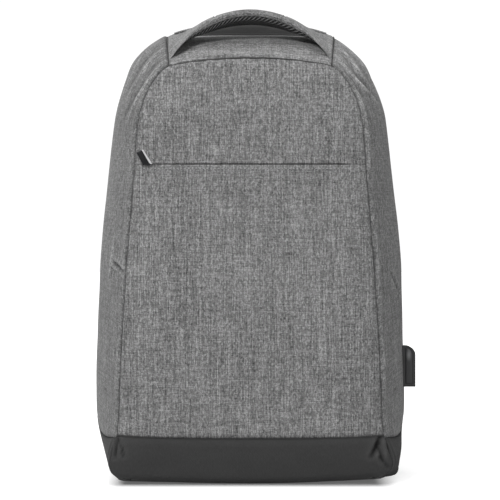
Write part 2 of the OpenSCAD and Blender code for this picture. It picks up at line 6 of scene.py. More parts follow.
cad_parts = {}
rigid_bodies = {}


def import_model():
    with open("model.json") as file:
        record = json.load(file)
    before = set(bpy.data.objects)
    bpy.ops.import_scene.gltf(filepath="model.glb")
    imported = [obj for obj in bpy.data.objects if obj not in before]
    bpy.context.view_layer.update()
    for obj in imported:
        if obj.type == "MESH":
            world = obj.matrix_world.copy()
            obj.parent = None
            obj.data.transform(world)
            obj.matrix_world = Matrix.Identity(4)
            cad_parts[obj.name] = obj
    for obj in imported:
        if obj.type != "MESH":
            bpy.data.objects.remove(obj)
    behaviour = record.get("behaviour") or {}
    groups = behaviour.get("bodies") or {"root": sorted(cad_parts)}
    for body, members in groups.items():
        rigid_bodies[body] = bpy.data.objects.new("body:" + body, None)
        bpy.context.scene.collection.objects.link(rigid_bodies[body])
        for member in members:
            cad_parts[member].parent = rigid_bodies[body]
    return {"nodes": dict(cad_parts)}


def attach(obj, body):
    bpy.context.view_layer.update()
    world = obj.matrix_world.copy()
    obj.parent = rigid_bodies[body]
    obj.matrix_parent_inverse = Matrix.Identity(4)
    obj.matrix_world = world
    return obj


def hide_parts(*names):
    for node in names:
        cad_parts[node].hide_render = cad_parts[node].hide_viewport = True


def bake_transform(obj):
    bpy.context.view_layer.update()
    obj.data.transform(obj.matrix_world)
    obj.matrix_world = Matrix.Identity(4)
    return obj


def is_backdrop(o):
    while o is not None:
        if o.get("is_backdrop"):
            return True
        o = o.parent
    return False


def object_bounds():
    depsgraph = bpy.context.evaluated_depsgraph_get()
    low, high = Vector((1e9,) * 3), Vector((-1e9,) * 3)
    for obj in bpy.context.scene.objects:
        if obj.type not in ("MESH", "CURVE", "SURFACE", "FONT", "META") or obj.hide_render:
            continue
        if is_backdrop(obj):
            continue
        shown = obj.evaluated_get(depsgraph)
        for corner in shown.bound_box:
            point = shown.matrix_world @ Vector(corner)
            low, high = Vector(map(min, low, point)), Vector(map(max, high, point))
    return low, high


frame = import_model()
CAD_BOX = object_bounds()
scene = bpy.context.scene
PI = math.pi

# ---------------------------------------------------------------- shape, in millimetres, the same lines as the frame
KZ = 436.0 / 436.5
PT = 3.5
Y_B, Y_F, LEAN, DEPTH = 56.0, -66.0, 24.0, 122.0
BAND_H, BAND_RISE, SLIT = 44.6, 20.0, 300.0
F = np.array([[0,0],[60,0],[112,0],[128,5],[132,16],[127.8,34],[124.8,50],[123.4,90],[121.8,130],[119.6,169],[116.8,214],
  [113.3,258],[110.2,299],[108.6,326],[105.6,348],[98.8,368.5],[89.5,384],[77.4,394.2],[50,399.4],[26,401.8],[0,402.6]]) * [1, KZ]
B = np.array([[0,0],[60,0],[114,0],[132.5,5],[141.5,18],[148.8,40],[150.9,64],[149.85,102],[148.75,142],[147.65,182],[146.6,220],
  [144.6,262],[141.4,304],[137.4,336],[132.6,361],[124.2,388],[112,411.5],[83.5,434],[56,437],[28,438],[0,438]]) * [1, KZ]

def ext(T):
    return np.vstack([[-T[1][0], T[1][1]], T, [-T[19][0], T[19][1]]])
FE, BE = ext(F), ext(B)

def loop(TE, k):
    k = np.asarray(k, float)
    sg = np.where((k < 0) | (k > 20), -1.0, 1.0)
    q = np.where(k < 0, -k, np.where(k > 20, 40 - k, k))
    i = np.clip(np.floor(q).astype(int), 0, 19)
    t = (q - i)[..., None]
    a, b, c, d = TE[i], TE[i + 1], TE[i + 2], TE[i + 3]
    p = 0.5 * (2 * b + (c - a) * t + (2 * a - 5 * b + 4 * c - d) * t * t + (3 * b - a - 3 * c + d) * t ** 3)
    p[..., 1] = np.maximum(p[..., 1], 0)
    p[..., 0] *= sg
    return p

def ramp(a, b, v):
    t = np.clip((np.asarray(v, float) - a) / (b - a), 0, 1)
    return t * t * (3 - 2 * t)
def ease(s): return 1 - (1 - s) ** 2
def mix(a, b, t): return a + (b - a) * t
def y_seam(z): return Y_F + LEAN * (np.maximum(0, z) / (402.6 * KZ)) ** 1.3
def kk(k): return np.where(k > 20, 40 - k, np.abs(k))
def belly(k): return 4.4 * ramp(3.5, 7.5, kk(k)) * (1 - ramp(9.3, 12.2, kk(k))) + 1.5 * ramp(12, 15, kk(k))
def lp(k, s):
    e = ease(s)[..., None]
    return loop(FE, k) * (1 - e) + loop(BE, k) * e
def gp(k, s, up=0.0):
    k, s = np.broadcast_arrays(np.asarray(k, float), np.asarray(s, float))
    p, q = lp(k, s), lp(k + 0.04, s) - lp(k - 0.04, s)
    t = q / np.maximum(1e-9, np.linalg.norm(q, axis=-1, keepdims=True))
    n = np.stack([t[..., 1], -t[..., 0]], -1)
    h = (belly(k) * np.sin(PI * np.clip(s, 0, 1) ** 1.8) + up)[..., None]
    z = loop(FE, k)[..., 1]
    o = p + n * h
    return np.stack([o[..., 0], mix(y_seam(z), Y_B, s), np.maximum(0, o[..., 1])], -1)
KF = np.linspace(2, 20, 721)
FT = loop(FE, KF)
def hw(z): return np.interp(z, FT[:, 1], FT[:, 0])
def puff(z): return mix(9.5, 6.0, ramp(120, 300, z)) * ramp(-14, 40, z) * (1 - 0.35 * ramp(340, 402, z))
def band_z(s): return BAND_H - 3.5 * ramp(0, 0.3, s) + 17.5 * ramp(0.44, 0.74, s) + 2.5 * ramp(0.74, 1.0, s)
def band_k(s): return 5 + (band_z(s) / KZ - 34 - 6 * ease(s)) / (16 + 8 * ease(s))

rng = np.random.default_rng(7)
_w = rng.uniform(0, 2 * PI, (12, 3))
def swell(x, y, scale, seed=0, n=6):
    """smooth, repeatable unevenness of about +-1"""
    out = np.zeros(np.broadcast(x, y).shape)
    for i in range(n):
        a, b, c = _w[(i + seed) % 12] + seed * 0.37
        f = (0.7 + 0.16 * i) / scale
        out += np.sin((x * math.cos(a) + y * math.sin(a)) * f * 2 * PI / 2 + b) * np.sin((x * math.sin(c) - y * math.cos(c)) * f * 1.7 + c)
    return out / (0.55 * n)

def seg_dist(x, y, a, b):
    ax, ay = a; bx, by = b
    dx, dy = bx - ax, by - ay
    t = np.clip(((x - ax) * dx + (y - ay) * dy) / (dx * dx + dy * dy), 0, 1)
    return np.hypot(x - ax - t * dx, y - ay - t * dy), t
def crease(x, y, a, b, w, depth):
    """a valley from a to b with a low ridge each side"""
    d, t = seg_dist(x, y, a, b)
    fade = np.sin(PI * np.clip(0.08 + 0.84 * t, 0, 1)) ** 0.6
    return depth * fade * (-np.exp(-(d / w) ** 2) + 0.55 * np.exp(-((d - 2.0 * w) / (1.1 * w)) ** 2))

# ---------------------------------------------------------------- materials
def node_mat(name, build):
    m = bpy.data.materials.new(name)
    m.use_nodes = True
    nt = m.node_tree
    nt.nodes.clear()
    out = nt.nodes.new("ShaderNodeOutputMaterial")
    bsdf = nt.nodes.new("ShaderNodeBsdfPrincipled")
    nt.links.new(bsdf.outputs[0], out.inputs[0])
    build(nt, bsdf)
    return m
def put(nt, kind, **k):
    n = nt.nodes.new(kind)
    for a, v in k.items():
        setattr(n, a, v)
    return n
def setin(nt, n, sock, v):
    s = n.inputs[sock]
    if hasattr(v, "is_linked") or isinstance(v, bpy.types.NodeSocket):
        nt.links.new(v, s)
    else:
        s.default_value = v
def math_n(nt, op, a, b=None, c=None, clamp=False):
    n = put(nt, "ShaderNodeMath", operation=op, use_clamp=clamp)
    setin(nt, n, 0, a)
    if b is not None: setin(nt, n, 1, b)
    if c is not None: setin(nt, n, 2, c)
    return n.outputs[0]
def noise(nt, vec, scale, detail=2.0, rough=0.5, dist=0.0):
    n = put(nt, "ShaderNodeTexNoise")
    setin(nt, n, "Vector", vec); setin(nt, n, "Scale", scale); setin(nt, n, "Detail", detail); setin(nt, n, "Roughness", rough); setin(nt, n, "Distortion", dist)
    return n.outputs["Fac"]
def scaled(nt, vec, sx, sy, sz=1.0, rot=0.0):
    n = put(nt, "ShaderNodeMapping")
    setin(nt, n, "Vector", vec); n.inputs["Scale"].default_value = (sx, sy, sz); n.inputs["Rotation"].default_value = (0, 0, rot)
    return n.outputs[0]
def rampn(nt, fac, stops):
    n = put(nt, "ShaderNodeValToRGB")
    setin(nt, n, 0, fac)
    e = n.color_ramp.elements
    while len(e) < len(stops): e.new(0.5)
    for i, (p, c) in enumerate(stops):
        e[i].position = p
        e[i].color = (c[0], c[1], c[2], 1) if isinstance(c, (tuple, list)) else (c, c, c, 1)
    return n.outputs[0]
def coords(nt, attr=True):
    if attr:
        return put(nt, "ShaderNodeAttribute", attribute_name="wv").outputs["Vector"]
    return put(nt, "ShaderNodeTexCoord").outputs["Object"]
def bump(nt, bsdf, h, dist, strength=1.0):
    b = put(nt, "ShaderNodeBump")
    setin(nt, b, "Height", h); setin(nt, b, "Distance", dist); setin(nt, b, "Strength", strength)
    nt.links.new(b.outputs[0], bsdf.inputs["Normal"])
def weave_h(nt, v, pitch):
    """height of a plain weave: crossed threads"""
    sep = put(nt, "ShaderNodeSeparateXYZ"); setin(nt, sep, 0, v)
    f = 2 * PI / pitch / 2
    a = math_n(nt, "SINE", math_n(nt, "MULTIPLY", sep.outputs[0], f))
    b = math_n(nt, "SINE", math_n(nt, "MULTIPLY", sep.outputs[1], f))
    return math_n(nt, "MULTIPLY_ADD", math_n(nt, "MULTIPLY", a, b), 0.5, 0.5)

# painted shading: the mesh's 'tone' attribute lightens or darkens the colour, standing in for light on fold ridges and
# shade in seams, creases and under the handle
def painted_shading_n(nt):
    t = put(nt, "ShaderNodeAttribute", attribute_name="tone").outputs["Fac"]
    return math_n(nt, "MAXIMUM", math_n(nt, "ADD", t, 1.0), 0.15)

def melange(name, dark=0.046, mid=0.214, light=0.52, pitch=0.00082):
    """plain weave of two-tone yarns: every thread changes shade along its own length"""
    def build(nt, bs):
        v = coords(nt)
        sep = put(nt, "ShaderNodeSeparateXYZ"); setin(nt, sep, 0, v)
        x, y = sep.outputs[0], sep.outputs[1]
        wob = noise(nt, v, 60.0, 1.0, 0.5)
        xs_ = math_n(nt, "MULTIPLY_ADD", wob, 0.0012, x); ys_ = math_n(nt, "MULTIPLY_ADD", wob, -0.0012, y)
        ix = math_n(nt, "FLOOR", math_n(nt, "DIVIDE", xs_, pitch)); iy = math_n(nt, "FLOOR", math_n(nt, "DIVIDE", ys_, pitch))
        def yarn(idx, along, run, k):
            wn = put(nt, "ShaderNodeTexWhiteNoise", noise_dimensions="1D"); setin(nt, wn, "W", math_n(nt, "ADD", idx, 31.7 * k))
            h = wn.outputs["Value"]
            c = put(nt, "ShaderNodeCombineXYZ")
            pos = math_n(nt, "MULTIPLY_ADD", along, run, math_n(nt, "MULTIPLY", h, 57.1))
            if k < 2.5: pos = math_n(nt, "FLOOR", pos)
            setin(nt, c, 0, math_n(nt, "MULTIPLY", h, 91.3)); setin(nt, c, 1, pos); c.inputs[2].default_value = 3.1 * k
            if k < 2.5:
                wc = put(nt, "ShaderNodeTexWhiteNoise", noise_dimensions="3D"); setin(nt, wc, "Vector", c.outputs[0])
                return math_n(nt, "MULTIPLY_ADD", wc.outputs["Value"], 0.27, 0.365)
            return noise(nt, c.outputs[0], 1.0, 2.0, 0.55)
        warp = math_n(nt, "MULTIPLY_ADD", yarn(ix, y, 430.0, 1.0), 0.70, math_n(nt, "MULTIPLY", yarn(ix, y, 40.0, 3.0), 0.30))
        weft = math_n(nt, "MULTIPLY_ADD", yarn(iy, x, 620.0, 2.0), 0.74, math_n(nt, "MULTIPLY", yarn(iy, x, 42.0, 4.0), 0.26))
        w = weave_h(nt, v, pitch)
        over = math_n(nt, "GREATER_THAN", w, 0.5)
        pick = math_n(nt, "MULTIPLY_ADD", over, 0.36, 0.40)
        mx_ = put(nt, "ShaderNodeMix", data_type="FLOAT"); setin(nt, mx_, 0, pick); setin(nt, mx_, 2, weft); setin(nt, mx_, 3, warp)
        big = noise(nt, v, 26.0, 2.0, 0.5)
        f = math_n(nt, "MULTIPLY_ADD", math_n(nt, "SUBTRACT", big, 0.5), 0.03, mx_.outputs[0])
        # long slubs: single threads that run lighter or darker for a few centimetres
        sv = math_n(nt, "SUBTRACT", yarn(ix, y, 24.0, 5.0), 0.5); sh = math_n(nt, "SUBTRACT", yarn(iy, x, 38.0, 6.0), 0.5)
        f = math_n(nt, "MULTIPLY_ADD", sv, 0.21, math_n(nt, "MULTIPLY_ADD", sh, 0.12, f))
        col = rampn(nt, f, [(0.35, dark), (0.5, mid), (0.66, light)])
        # weave shading times the painted shading carried on the mesh
        shade = math_n(nt, "MULTIPLY", math_n(nt, "MULTIPLY_ADD", w, 0.14, 0.92), painted_shading_n(nt))
        mm = put(nt, "ShaderNodeMix", data_type="RGBA", blend_type="MULTIPLY")
        mm.inputs[0].default_value = 1.0
        nt.links.new(col, mm.inputs[6]); nt.links.new(shade, mm.inputs[7])
        nt.links.new(mm.outputs[2], bs.inputs["Base Color"])
        setin(nt, bs, "Roughness", math_n(nt, "MULTIPLY_ADD", f, 0.12, 0.84))
        bs.inputs["Specular IOR Level"].default_value = 0.22
        bs.inputs["Sheen Weight"].default_value = 0.18
        bs.inputs["Sheen Roughness"].default_value = 0.5
        bump(nt, bs, math_n(nt, "MULTIPLY_ADD", mx_.outputs[0], 0.8, math_n(nt, "MULTIPLY", w, 0.6)), 0.00026, 0.75)
    return node_mat(name, build)

def plain_weave(name, col, pitch, var=0.12, rough=0.85, sheen=0.15, hgt=0.0002, attr=True, spec=0.25):
    def build(nt, bs):
        v = coords(nt, attr)
        w = weave_h(nt, v, pitch)
        n1 = noise(nt, scaled(nt, v, 700, 260), 1.0, 2.0, 0.6)
        n2 = noise(nt, v, 30.0, 3.0, 0.5)
        f = math_n(nt, "ADD", math_n(nt, "MULTIPLY", w, 0.35), math_n(nt, "ADD", math_n(nt, "MULTIPLY", n1, 0.4), math_n(nt, "MULTIPLY", n2, 0.25)))
        c = rampn(nt, f, [(0.2, [x * (1 - 2.2 * var) for x in col]), (0.8, [x * (1 + 2.2 * var) for x in col])])
        if attr:
            # the mesh's painted shading multiplies the colour
            mm = put(nt, "ShaderNodeMix", data_type="RGBA", blend_type="MULTIPLY"); mm.inputs[0].default_value = 1.0
            nt.links.new(c, mm.inputs[6]); nt.links.new(painted_shading_n(nt), mm.inputs[7]); c = mm.outputs[2]
        nt.links.new(c, bs.inputs["Base Color"])
        r = math_n(nt, "MULTIPLY_ADD", n1, 0.12, rough - 0.06)
        nt.links.new(r, bs.inputs["Roughness"])
        bs.inputs["Specular IOR Level"].default_value = spec
        bs.inputs["Sheen Weight"].default_value = sheen
        bump(nt, bs, math_n(nt, "ADD", w, math_n(nt, "MULTIPLY", n1, 0.5)), hgt, 0.7)
    return node_mat(name, build)

def air_mesh(name, pitch, hole=0.008, strand=0.075, attr=True):
    def build(nt, bs):
        v = coords(nt, attr)
        m = scaled(nt, v, 1 / pitch, 0.8 / pitch, 1 / pitch, PI / 4)
        vo = put(nt, "ShaderNodeTexVoronoi", feature="F1", voronoi_dimensions="2D")
        setin(nt, vo, "Vector", m); setin(nt, vo, "Scale", 1.0); setin(nt, vo, "Randomness", 0.06)
        d = vo.outputs["Distance"]
        fibre = noise(nt, scaled(nt, v, 1500, 1500), 1.0, 2.0, 0.6)
        col = rampn(nt, math_n(nt, "MULTIPLY_ADD", fibre, 0.18, d), [(0.30, hole), (0.46, strand * 0.55), (0.72, strand)])
        nt.links.new(col, bs.inputs["Base Color"])
        bs.inputs["Roughness"].default_value = 0.8
        bs.inputs["Sheen Weight"].default_value = 0.25
        bs.inputs["Specular IOR Level"].default_value = 0.3
        h = put(nt, "ShaderNodeMapRange", interpolation_type="SMOOTHSTEP")
        setin(nt, h, 0, d); h.inputs[1].default_value = 0.25; h.inputs[2].default_value = 0.6
        bump(nt, bs, math_n(nt, "MULTIPLY_ADD", fibre, 0.15, h.outputs[0]), 0.0011, 0.9)
    return node_mat(name, build)

def webbing_mat(name, col=0.022):
    def build(nt, bs):
        v = coords(nt)
        sep = put(nt, "ShaderNodeSeparateXYZ"); setin(nt, sep, 0, v)
        a = math_n(nt, "SINE", math_n(nt, "MULTIPLY", sep.outputs[1], 2 * PI / 0.0013))
        b = math_n(nt, "SINE", math_n(nt, "MULTIPLY_ADD", sep.outputs[0], 2 * PI / 0.0030, math_n(nt, "MULTIPLY", sep.outputs[1], 2 * PI / 0.0026)))
        h = math_n(nt, "MULTIPLY_ADD", math_n(nt, "ADD", a, b), 0.25, 0.5)
        n = noise(nt, scaled(nt, v, 900, 900), 1.0, 2.0, 0.6)
        c = rampn(nt, math_n(nt, "MULTIPLY_ADD", n, 0.4, math_n(nt, "MULTIPLY", h, 0.6)), [(0.2, col * 0.5), (0.8, col * 1.7)])
        nt.links.new(c, bs.inputs["Base Color"])
        bs.inputs["Roughness"].default_value = 0.68
        bs.inputs["Sheen Weight"].default_value = 0.15
        bump(nt, bs, h, 0.00035, 0.8)
    return node_mat(name, build)

def hard(name, col, rough, metal=0.0, grain=900.0, gh=0.00004, var=0.12, coat=0.0, wear=0.0):
    def build(nt, bs):
        v = coords(nt, False)
        n = noise(nt, v, grain, 3.0, 0.6)
        n2 = noise(nt, v, 60.0, 3.0, 0.5)
        f = math_n(nt, "MULTIPLY_ADD", n2, 0.6, math_n(nt, "MULTIPLY", n, 0.4))
        c = rampn(nt, f, [(0.25, [x * (1 - var) for x in col]), (0.75, [x * (1 + var) for x in col])])
        nt.links.new(c, bs.inputs["Base Color"])
        nt.links.new(math_n(nt, "MULTIPLY_ADD", n2, 0.16, rough - 0.08), bs.inputs["Roughness"])
        bs.inputs["Metallic"].default_value = metal
        bs.inputs["Coat Weight"].default_value = coat
        bump(nt, bs, n, gh, 0.6)
    return node_mat(name, build)

M_MEL = melange("melange_fabric")
M_BASE = plain_weave("base_fabric", (0.053, 0.053, 0.053), 0.0007, var=0.15, rough=0.82, sheen=0.10)
M_LINE = plain_weave("lining_fabric", (0.030, 0.030, 0.031), 0.0009, var=0.12, rough=0.62, sheen=0.1)
M_AIR = air_mesh("air_mesh_pad", 0.0036)
def rib_mesh(name, pitch=0.0042):
    """spacer mesh of the grip: light slanting ribs over dark holes"""
    def build(nt, bs):
        v = coords(nt)
        sep = put(nt, "ShaderNodeSeparateXYZ"); setin(nt, sep, 0, v)
        x, y = sep.outputs[0], sep.outputs[1]
        def rib(slope, phase, width):
            u = math_n(nt, "DIVIDE", math_n(nt, "MULTIPLY_ADD", x, slope, math_n(nt, "ADD", y, phase)), pitch)
            d = math_n(nt, "ABSOLUTE", math_n(nt, "SUBTRACT", math_n(nt, "FRACT", u), 0.5))
            return math_n(nt, "SUBTRACT", 1.0, math_n(nt, "DIVIDE", d, width, clamp=False), clamp=True)
        a = rib(1.15, 0.0, 0.34); b = rib(-0.5, 0.0011, 0.22)
        h = math_n(nt, "MAXIMUM", a, math_n(nt, "MULTIPLY", b, 0.5))
        nz = noise(nt, v, 420.0, 2.0, 0.6)
        f = math_n(nt, "MULTIPLY", h, math_n(nt, "MULTIPLY_ADD", nz, 0.9, 0.55))
        nt.links.new(rampn(nt, f, [(0.05, 0.010), (0.45, 0.060), (0.95, 0.25)]), bs.inputs["Base Color"])
        bs.inputs["Roughness"].default_value = 0.8
        bs.inputs["Specular IOR Level"].default_value = 0.2
        bump(nt, bs, h, 0.0008, 0.8)
    return node_mat(name, build)
M_AIRH = rib_mesh("air_mesh_handle")
M_WEB = webbing_mat("black_webbing")
M_TAPE = plain_weave("zip_tape", (0.020, 0.020, 0.020), 0.0008, var=0.15, rough=0.75)
M_BIND = plain_weave("edge_binding", (0.026, 0.026, 0.026), 0.0010, var=0.12, rough=0.7)
M_THREAD = hard("light_thread", (0.46, 0.46, 0.46), 0.8, grain=2500, gh=0.00003)
M_THREADD = hard("dark_thread", (0.03, 0.03, 0.03), 0.8, grain=2500, gh=0.00003)
# dark cord for the seam grooves: partly thread, partly painted shade for the groove's shadow
M_SEAM_SHADE = hard("seam_thread_and_shade", (0.052, 0.052, 0.052), 0.9, grain=2500, gh=0.00003)
M_PLA = hard("black_plastic", (0.022, 0.022, 0.023), 0.42, grain=1400, gh=0.00003)
M_BANK = hard("bank_plastic", (0.030, 0.030, 0.033), 0.5, grain=1800, gh=0.00003)
M_BOARD = hard("board_sheet", (0.02, 0.02, 0.02), 0.7, grain=700, gh=0.00006)
M_DARKM = hard("dark_metal", (0.030, 0.030, 0.032), 0.36, metal=0.65, grain=1600, gh=0.00002)
M_BRIGHT = hard("bright_metal", (0.78, 0.78, 0.79), 0.25, metal=1.0, grain=1200, gh=0.00001, var=0.05)
# pale non-metal finish: a painted highlight standing in for the shine of the pull tab's metal edge
M_EDGE_GLINT = hard("edge_painted_highlight", (0.82, 0.82, 0.83), 0.3, metal=0.25, grain=1200, gh=0.00001, var=0.05, coat=0.5)
M_WHITE = hard("white_plastic", (0.78, 0.78, 0.76), 0.4, grain=900, gh=0.00001, var=0.03)
M_GOLD = hard("contact_metal", (0.85, 0.62, 0.25), 0.25, metal=1.0, grain=900, gh=0.00001, var=0.04)
M_TOOTH = hard("zip_tooth", (0.028, 0.028, 0.029), 0.38, grain=1400, gh=0.00001)

# ---------------------------------------------------------------- mesh helpers
def new_obj(name, V, faces, mats, mi=None, W=None, smooth=True, tone=None):
    me = bpy.data.meshes.new(name)
    me.from_pydata((np.asarray(V) * 0.001).tolist(), [], [tuple(int(i) for i in f) for f in faces])
    for m in mats: me.materials.append(m)
    if mi is not None: me.polygons.foreach_set("material_index", np.asarray(mi, np.int32))
    me.polygons.foreach_set("use_smooth", np.full(len(me.polygons), smooth))
    if W is not None:
        at = me.attributes.new("wv", "FLOAT_VECTOR", "POINT")
        w3 = np.zeros((len(V), 3)); w3[:, :2] = np.asarray(W)[:, :2] * 0.001
        at.data.foreach_set("vector", w3.ravel())
    if tone is not None:
        at = me.attributes.new("tone", "FLOAT", "POINT"); at.data.foreach_set("value", np.asarray(tone, np.float32))
    me.validate(); me.update()
    o = bpy.data.objects.new(name, me)
    scene.collection.objects.link(o)
    return o

def piece(o, body, slot, *nodes, blend=None):
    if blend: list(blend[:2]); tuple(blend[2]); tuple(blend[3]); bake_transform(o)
    else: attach(o, body)
    if nodes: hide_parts(*nodes)
    return o

def marks(L, step, f0=True, f1=True):
    fine = [0.3, 0.7, 1.2, 1.8, 2.6, 3.6, 4.8]
    p = list(np.linspace(0, L, max(2, int(round(L / step))) + 1))
    if f0: p = [0] + fine + [x for x in p if x > 6.2]
    if f1: p = [x for x in p if x < L - 6.2] + [L - x for x in reversed(fine)] + [L]
    return np.array(sorted(p)) / L

def roll_drop(d, r, depth):
    u = np.clip(1 - d / r, 0, 1)
    return depth * (1 - np.sqrt(np.maximum(0, 1 - u * u)))

def grid_normals(P):
    dr, dc = np.gradient(P, axis=0), np.gradient(P, axis=1)
    n = np.cross(dc, dr)
    return n / np.maximum(1e-9, np.linalg.norm(n, axis=-1, keepdims=True))

def edge_dists(P):
    lr = np.linalg.norm(np.diff(P, axis=0), axis=-1); a = np.vstack([np.zeros((1, P.shape[1])), np.cumsum(lr, 0)])
    lc = np.linalg.norm(np.diff(P, axis=1), axis=-1); b = np.hstack([np.zeros((P.shape[0], 1)), np.cumsum(lc, 1)])
    return a, a[-1:] - a, b, b[:, -1:] - b

def shell(name, P, W, th, rolls, mats, flip=False, drop=None, inner=None, tone=None):
    """closed sheet: outer face P with its borders rolled in, and a lining face th below it.
    rolls: (row0, row1, col0, col1), each None or (radius, depth)"""
    n = grid_normals(P)
    if flip: n = -n
    d = np.zeros(P.shape[:2])
    for dist, r in zip(edge_dists(P), rolls):
        if r is not None: d = np.maximum(d, roll_drop(dist, *r))
    painted_shade_map = np.zeros(P.shape[:2]) if tone is None else np.array(tone, float)
    # painted shade: the colour darkens along each deeply rolled edge, where the seam groove's shadow falls
    for dist, r in zip(edge_dists(P), rolls):
        if r is not None and r[1] > 1.0: painted_shade_map = painted_shade_map - 0.40 * np.exp(-(dist / 1.4) ** 2) - 0.06 * np.exp(-(dist / 4.0) ** 2)
    if drop is not None: d = d + drop
    O = P - n * d[..., None]
    I = P - n * (th if np.isscalar(th) else th[..., None])
    if inner is not None: I = inner
    nr, nc = P.shape[:2]; m = nr * nc
    idx = np.arange(m).reshape(nr, nc)
    a, b, c, e = idx[:-1, :-1], idx[:-1, 1:], idx[1:, 1:], idx[1:, :-1]
    q = np.stack([a, b, c, e], -1).reshape(-1, 4)
    if flip: q = q[:, ::-1]
    qi = q[:, ::-1] + m
    ring = np.concatenate([idx[0, :-1], idx[:-1, -1], idx[-1, :0:-1], idx[:0:-1, 0]])
    nx = np.roll(ring, -1)
    bord = np.stack([nx, ring, ring + m, nx + m], -1)
    if flip: bord = bord[:, ::-1]
    faces = np.concatenate([q, qi, bord])
    mi = np.concatenate([np.zeros(len(q)), np.ones(len(qi)), np.zeros(len(bord))]).astype(int) if len(mats) > 1 else None
    V = np.concatenate([O.reshape(-1, 3), I.reshape(-1, 3)])
    return new_obj(name, V, faces, mats, mi, np.concatenate([W.reshape(-1, 2)] * 2), tone=np.concatenate([painted_shade_map.ravel(), np.zeros(m)]))

def tube(name, rings, mats, W=None, mi_ring=None, caps=True, closed=False):
    R = np.asarray(rings); nr, nc = R.shape[:2]
    idx = np.arange(nr * nc).reshape(nr, nc)
    A = idx if closed else idx[:-1]
    Bn = np.roll(idx, -1, 0) if closed else idx[1:]
    a, b = A, np.roll(A, -1, 1); c, d = np.roll(Bn, -1, 1), Bn
    q = np.stack([a, b, c, d], -1).reshape(-1, 4)
    mi = None
    if mi_ring is not None: mi = list(np.tile(np.asarray(mi_ring), A.shape[0]))
    faces = [tuple(f) for f in q]
    V = R.reshape(-1, 3)
    if W is None:
        ln = np.concatenate([[0], np.cumsum(np.linalg.norm(np.diff(R.mean(1), axis=0), axis=-1))])
        per = np.concatenate([np.zeros((nr, 1)), np.cumsum(np.linalg.norm(np.diff(R, axis=1), axis=-1), 1)], 1)
        W = np.stack([per, np.repeat(ln[:, None], nc, 1)], -1)
    if caps and not closed:
        faces += [tuple(idx[0][::-1]), tuple(idx[-1])]
        if mi is not None: mi += [0, 0]
    o = new_obj(name, V, faces, mats, mi, np.asarray(W).reshape(-1, 2))
    return o

def frames_along(path, up):
    """tangent, side and up vectors along a polyline"""
    p = np.asarray(path, float)
    t = np.gradient(p, axis=0); t /= np.linalg.norm(t, axis=1, keepdims=True)
    up = np.broadcast_to(np.asarray(up, float), p.shape)
    s = np.cross(t, up); s /= np.linalg.norm(s, axis=1, keepdims=True)
    return p, t, s, np.cross(s, t)

def cord(name, path, r, mat, up=(0, 1, 0), n=10, closed=False, ripple=0.0):
    p, t, s, u = frames_along(path, up)
    a = np.linspace(0, 2 * PI, n, endpoint=False)
    rr = r * (1 + ripple * np.sin(np.arange(len(p)) * 2.1))[:, None, None]
    R = p[:, None] + rr * (np.cos(a)[None, :, None] * s[:, None] + np.sin(a)[None, :, None] * u[:, None])
    return tube(name, R[:, ::-1], [mat], closed=closed)

def resample(path, step):
    p = np.asarray(path, float)
    L = np.concatenate([[0], np.cumsum(np.linalg.norm(np.diff(p, axis=0), axis=1))])
    n = max(2, int(round(L[-1] / step)))
    x = np.linspace(0, L[-1], n + 1)
    return np.stack([np.interp(x, L, p[:, i]) for i in range(3)], -1)

def stitches(name, path, mat, pitch=3.4, length=2.3, r=0.26, normal=(0, -1, 0), lift=0.15):
    """a row of thread stitches lying on a surface along a path"""
    p = resample(path, pitch)
    t = np.gradient(p, axis=0); t /= np.linalg.norm(t, axis=1, keepdims=True)
    nn = np.broadcast_to(np.asarray(normal, float), p.shape)
    s = np.cross(t, nn); s /= np.linalg.norm(s, axis=1, keepdims=True)
    V, Fc = [], []
    for i in range(len(p)):
        b = len(V)
        for j, (x, q, dz) in enumerate(((-0.5, 0.35, -0.25), (-0.28, 1.0, 0.1), (0.28, 1.0, 0.1), (0.5, 0.35, -0.25))):
            for m in range(6):
                a = m * PI / 3
                V.append(p[i] + t[i] * x * length + s[i] * math.cos(a) * r * q + nn[i] * (math.sin(a) * r * q + lift + dz))
        for j in range(3):
            for m in range(6):
                Fc.append((b + j * 6 + m, b + j * 6 + (m + 1) % 6, b + (j + 1) * 6 + (m + 1) % 6, b + (j + 1) * 6 + m))
        Fc.append(tuple(b + m for m in range(5, -1, -1))); Fc.append(tuple(b + 18 + m for m in range(6)))
    return new_obj(name, V, Fc, [mat])

def poly_fill(outline, step):
    """triangulate a closed outline with even inner points; returns points, triangles and distance to the outline"""
    o = np.asarray(outline, float)
    lo, hi = o.min(0), o.max(0)
    gx, gy = np.arange(lo[0], hi[0], step), np.arange(lo[1], hi[1], step * 0.866)
    pts = np.array([(x + (j % 2) * step / 2, y) for j, y in enumerate(gy) for x in gx])
    def dist(q):
        a, b = o, np.roll(o, -1, 0)
        d = b - a
        t = np.clip(((q[:, None] - a) * d).sum(-1) / (d * d).sum(-1), 0, 1)
        return np.linalg.norm(q[:, None] - a - t[..., None] * d, axis=-1).min(1)
    a, b = o, np.roll(o, -1, 0)
    inside = (((a[:, 1] > pts[:, None, 1]) != (b[:, 1] > pts[:, None, 1])) & (pts[:, None, 0] < (b[:, 0] - a[:, 0]) * (pts[:, None, 1] - a[:, 1]) / (b[:, 1] - a[:, 1] + 1e-12) + a[:, 0])).sum(1) % 2 == 1
    pts = pts[inside]; pts = pts[dist(pts) > step * 0.45]
    rim = []
    c = o.mean(0)
    allp = np.vstack([o, pts])
    n = len(o)
    r = delaunay_2d_cdt([Vector(x) for x in allp], [(i, (i + 1) % n) for i in range(n)], [list(range(n))], 1, 1e-4)
    P = np.array([tuple(v) for v in r[0]]); T = [tuple(f) for f in r[2]]
    D = dist(P); D[D < 1e-3] = 0
    return P, T, D

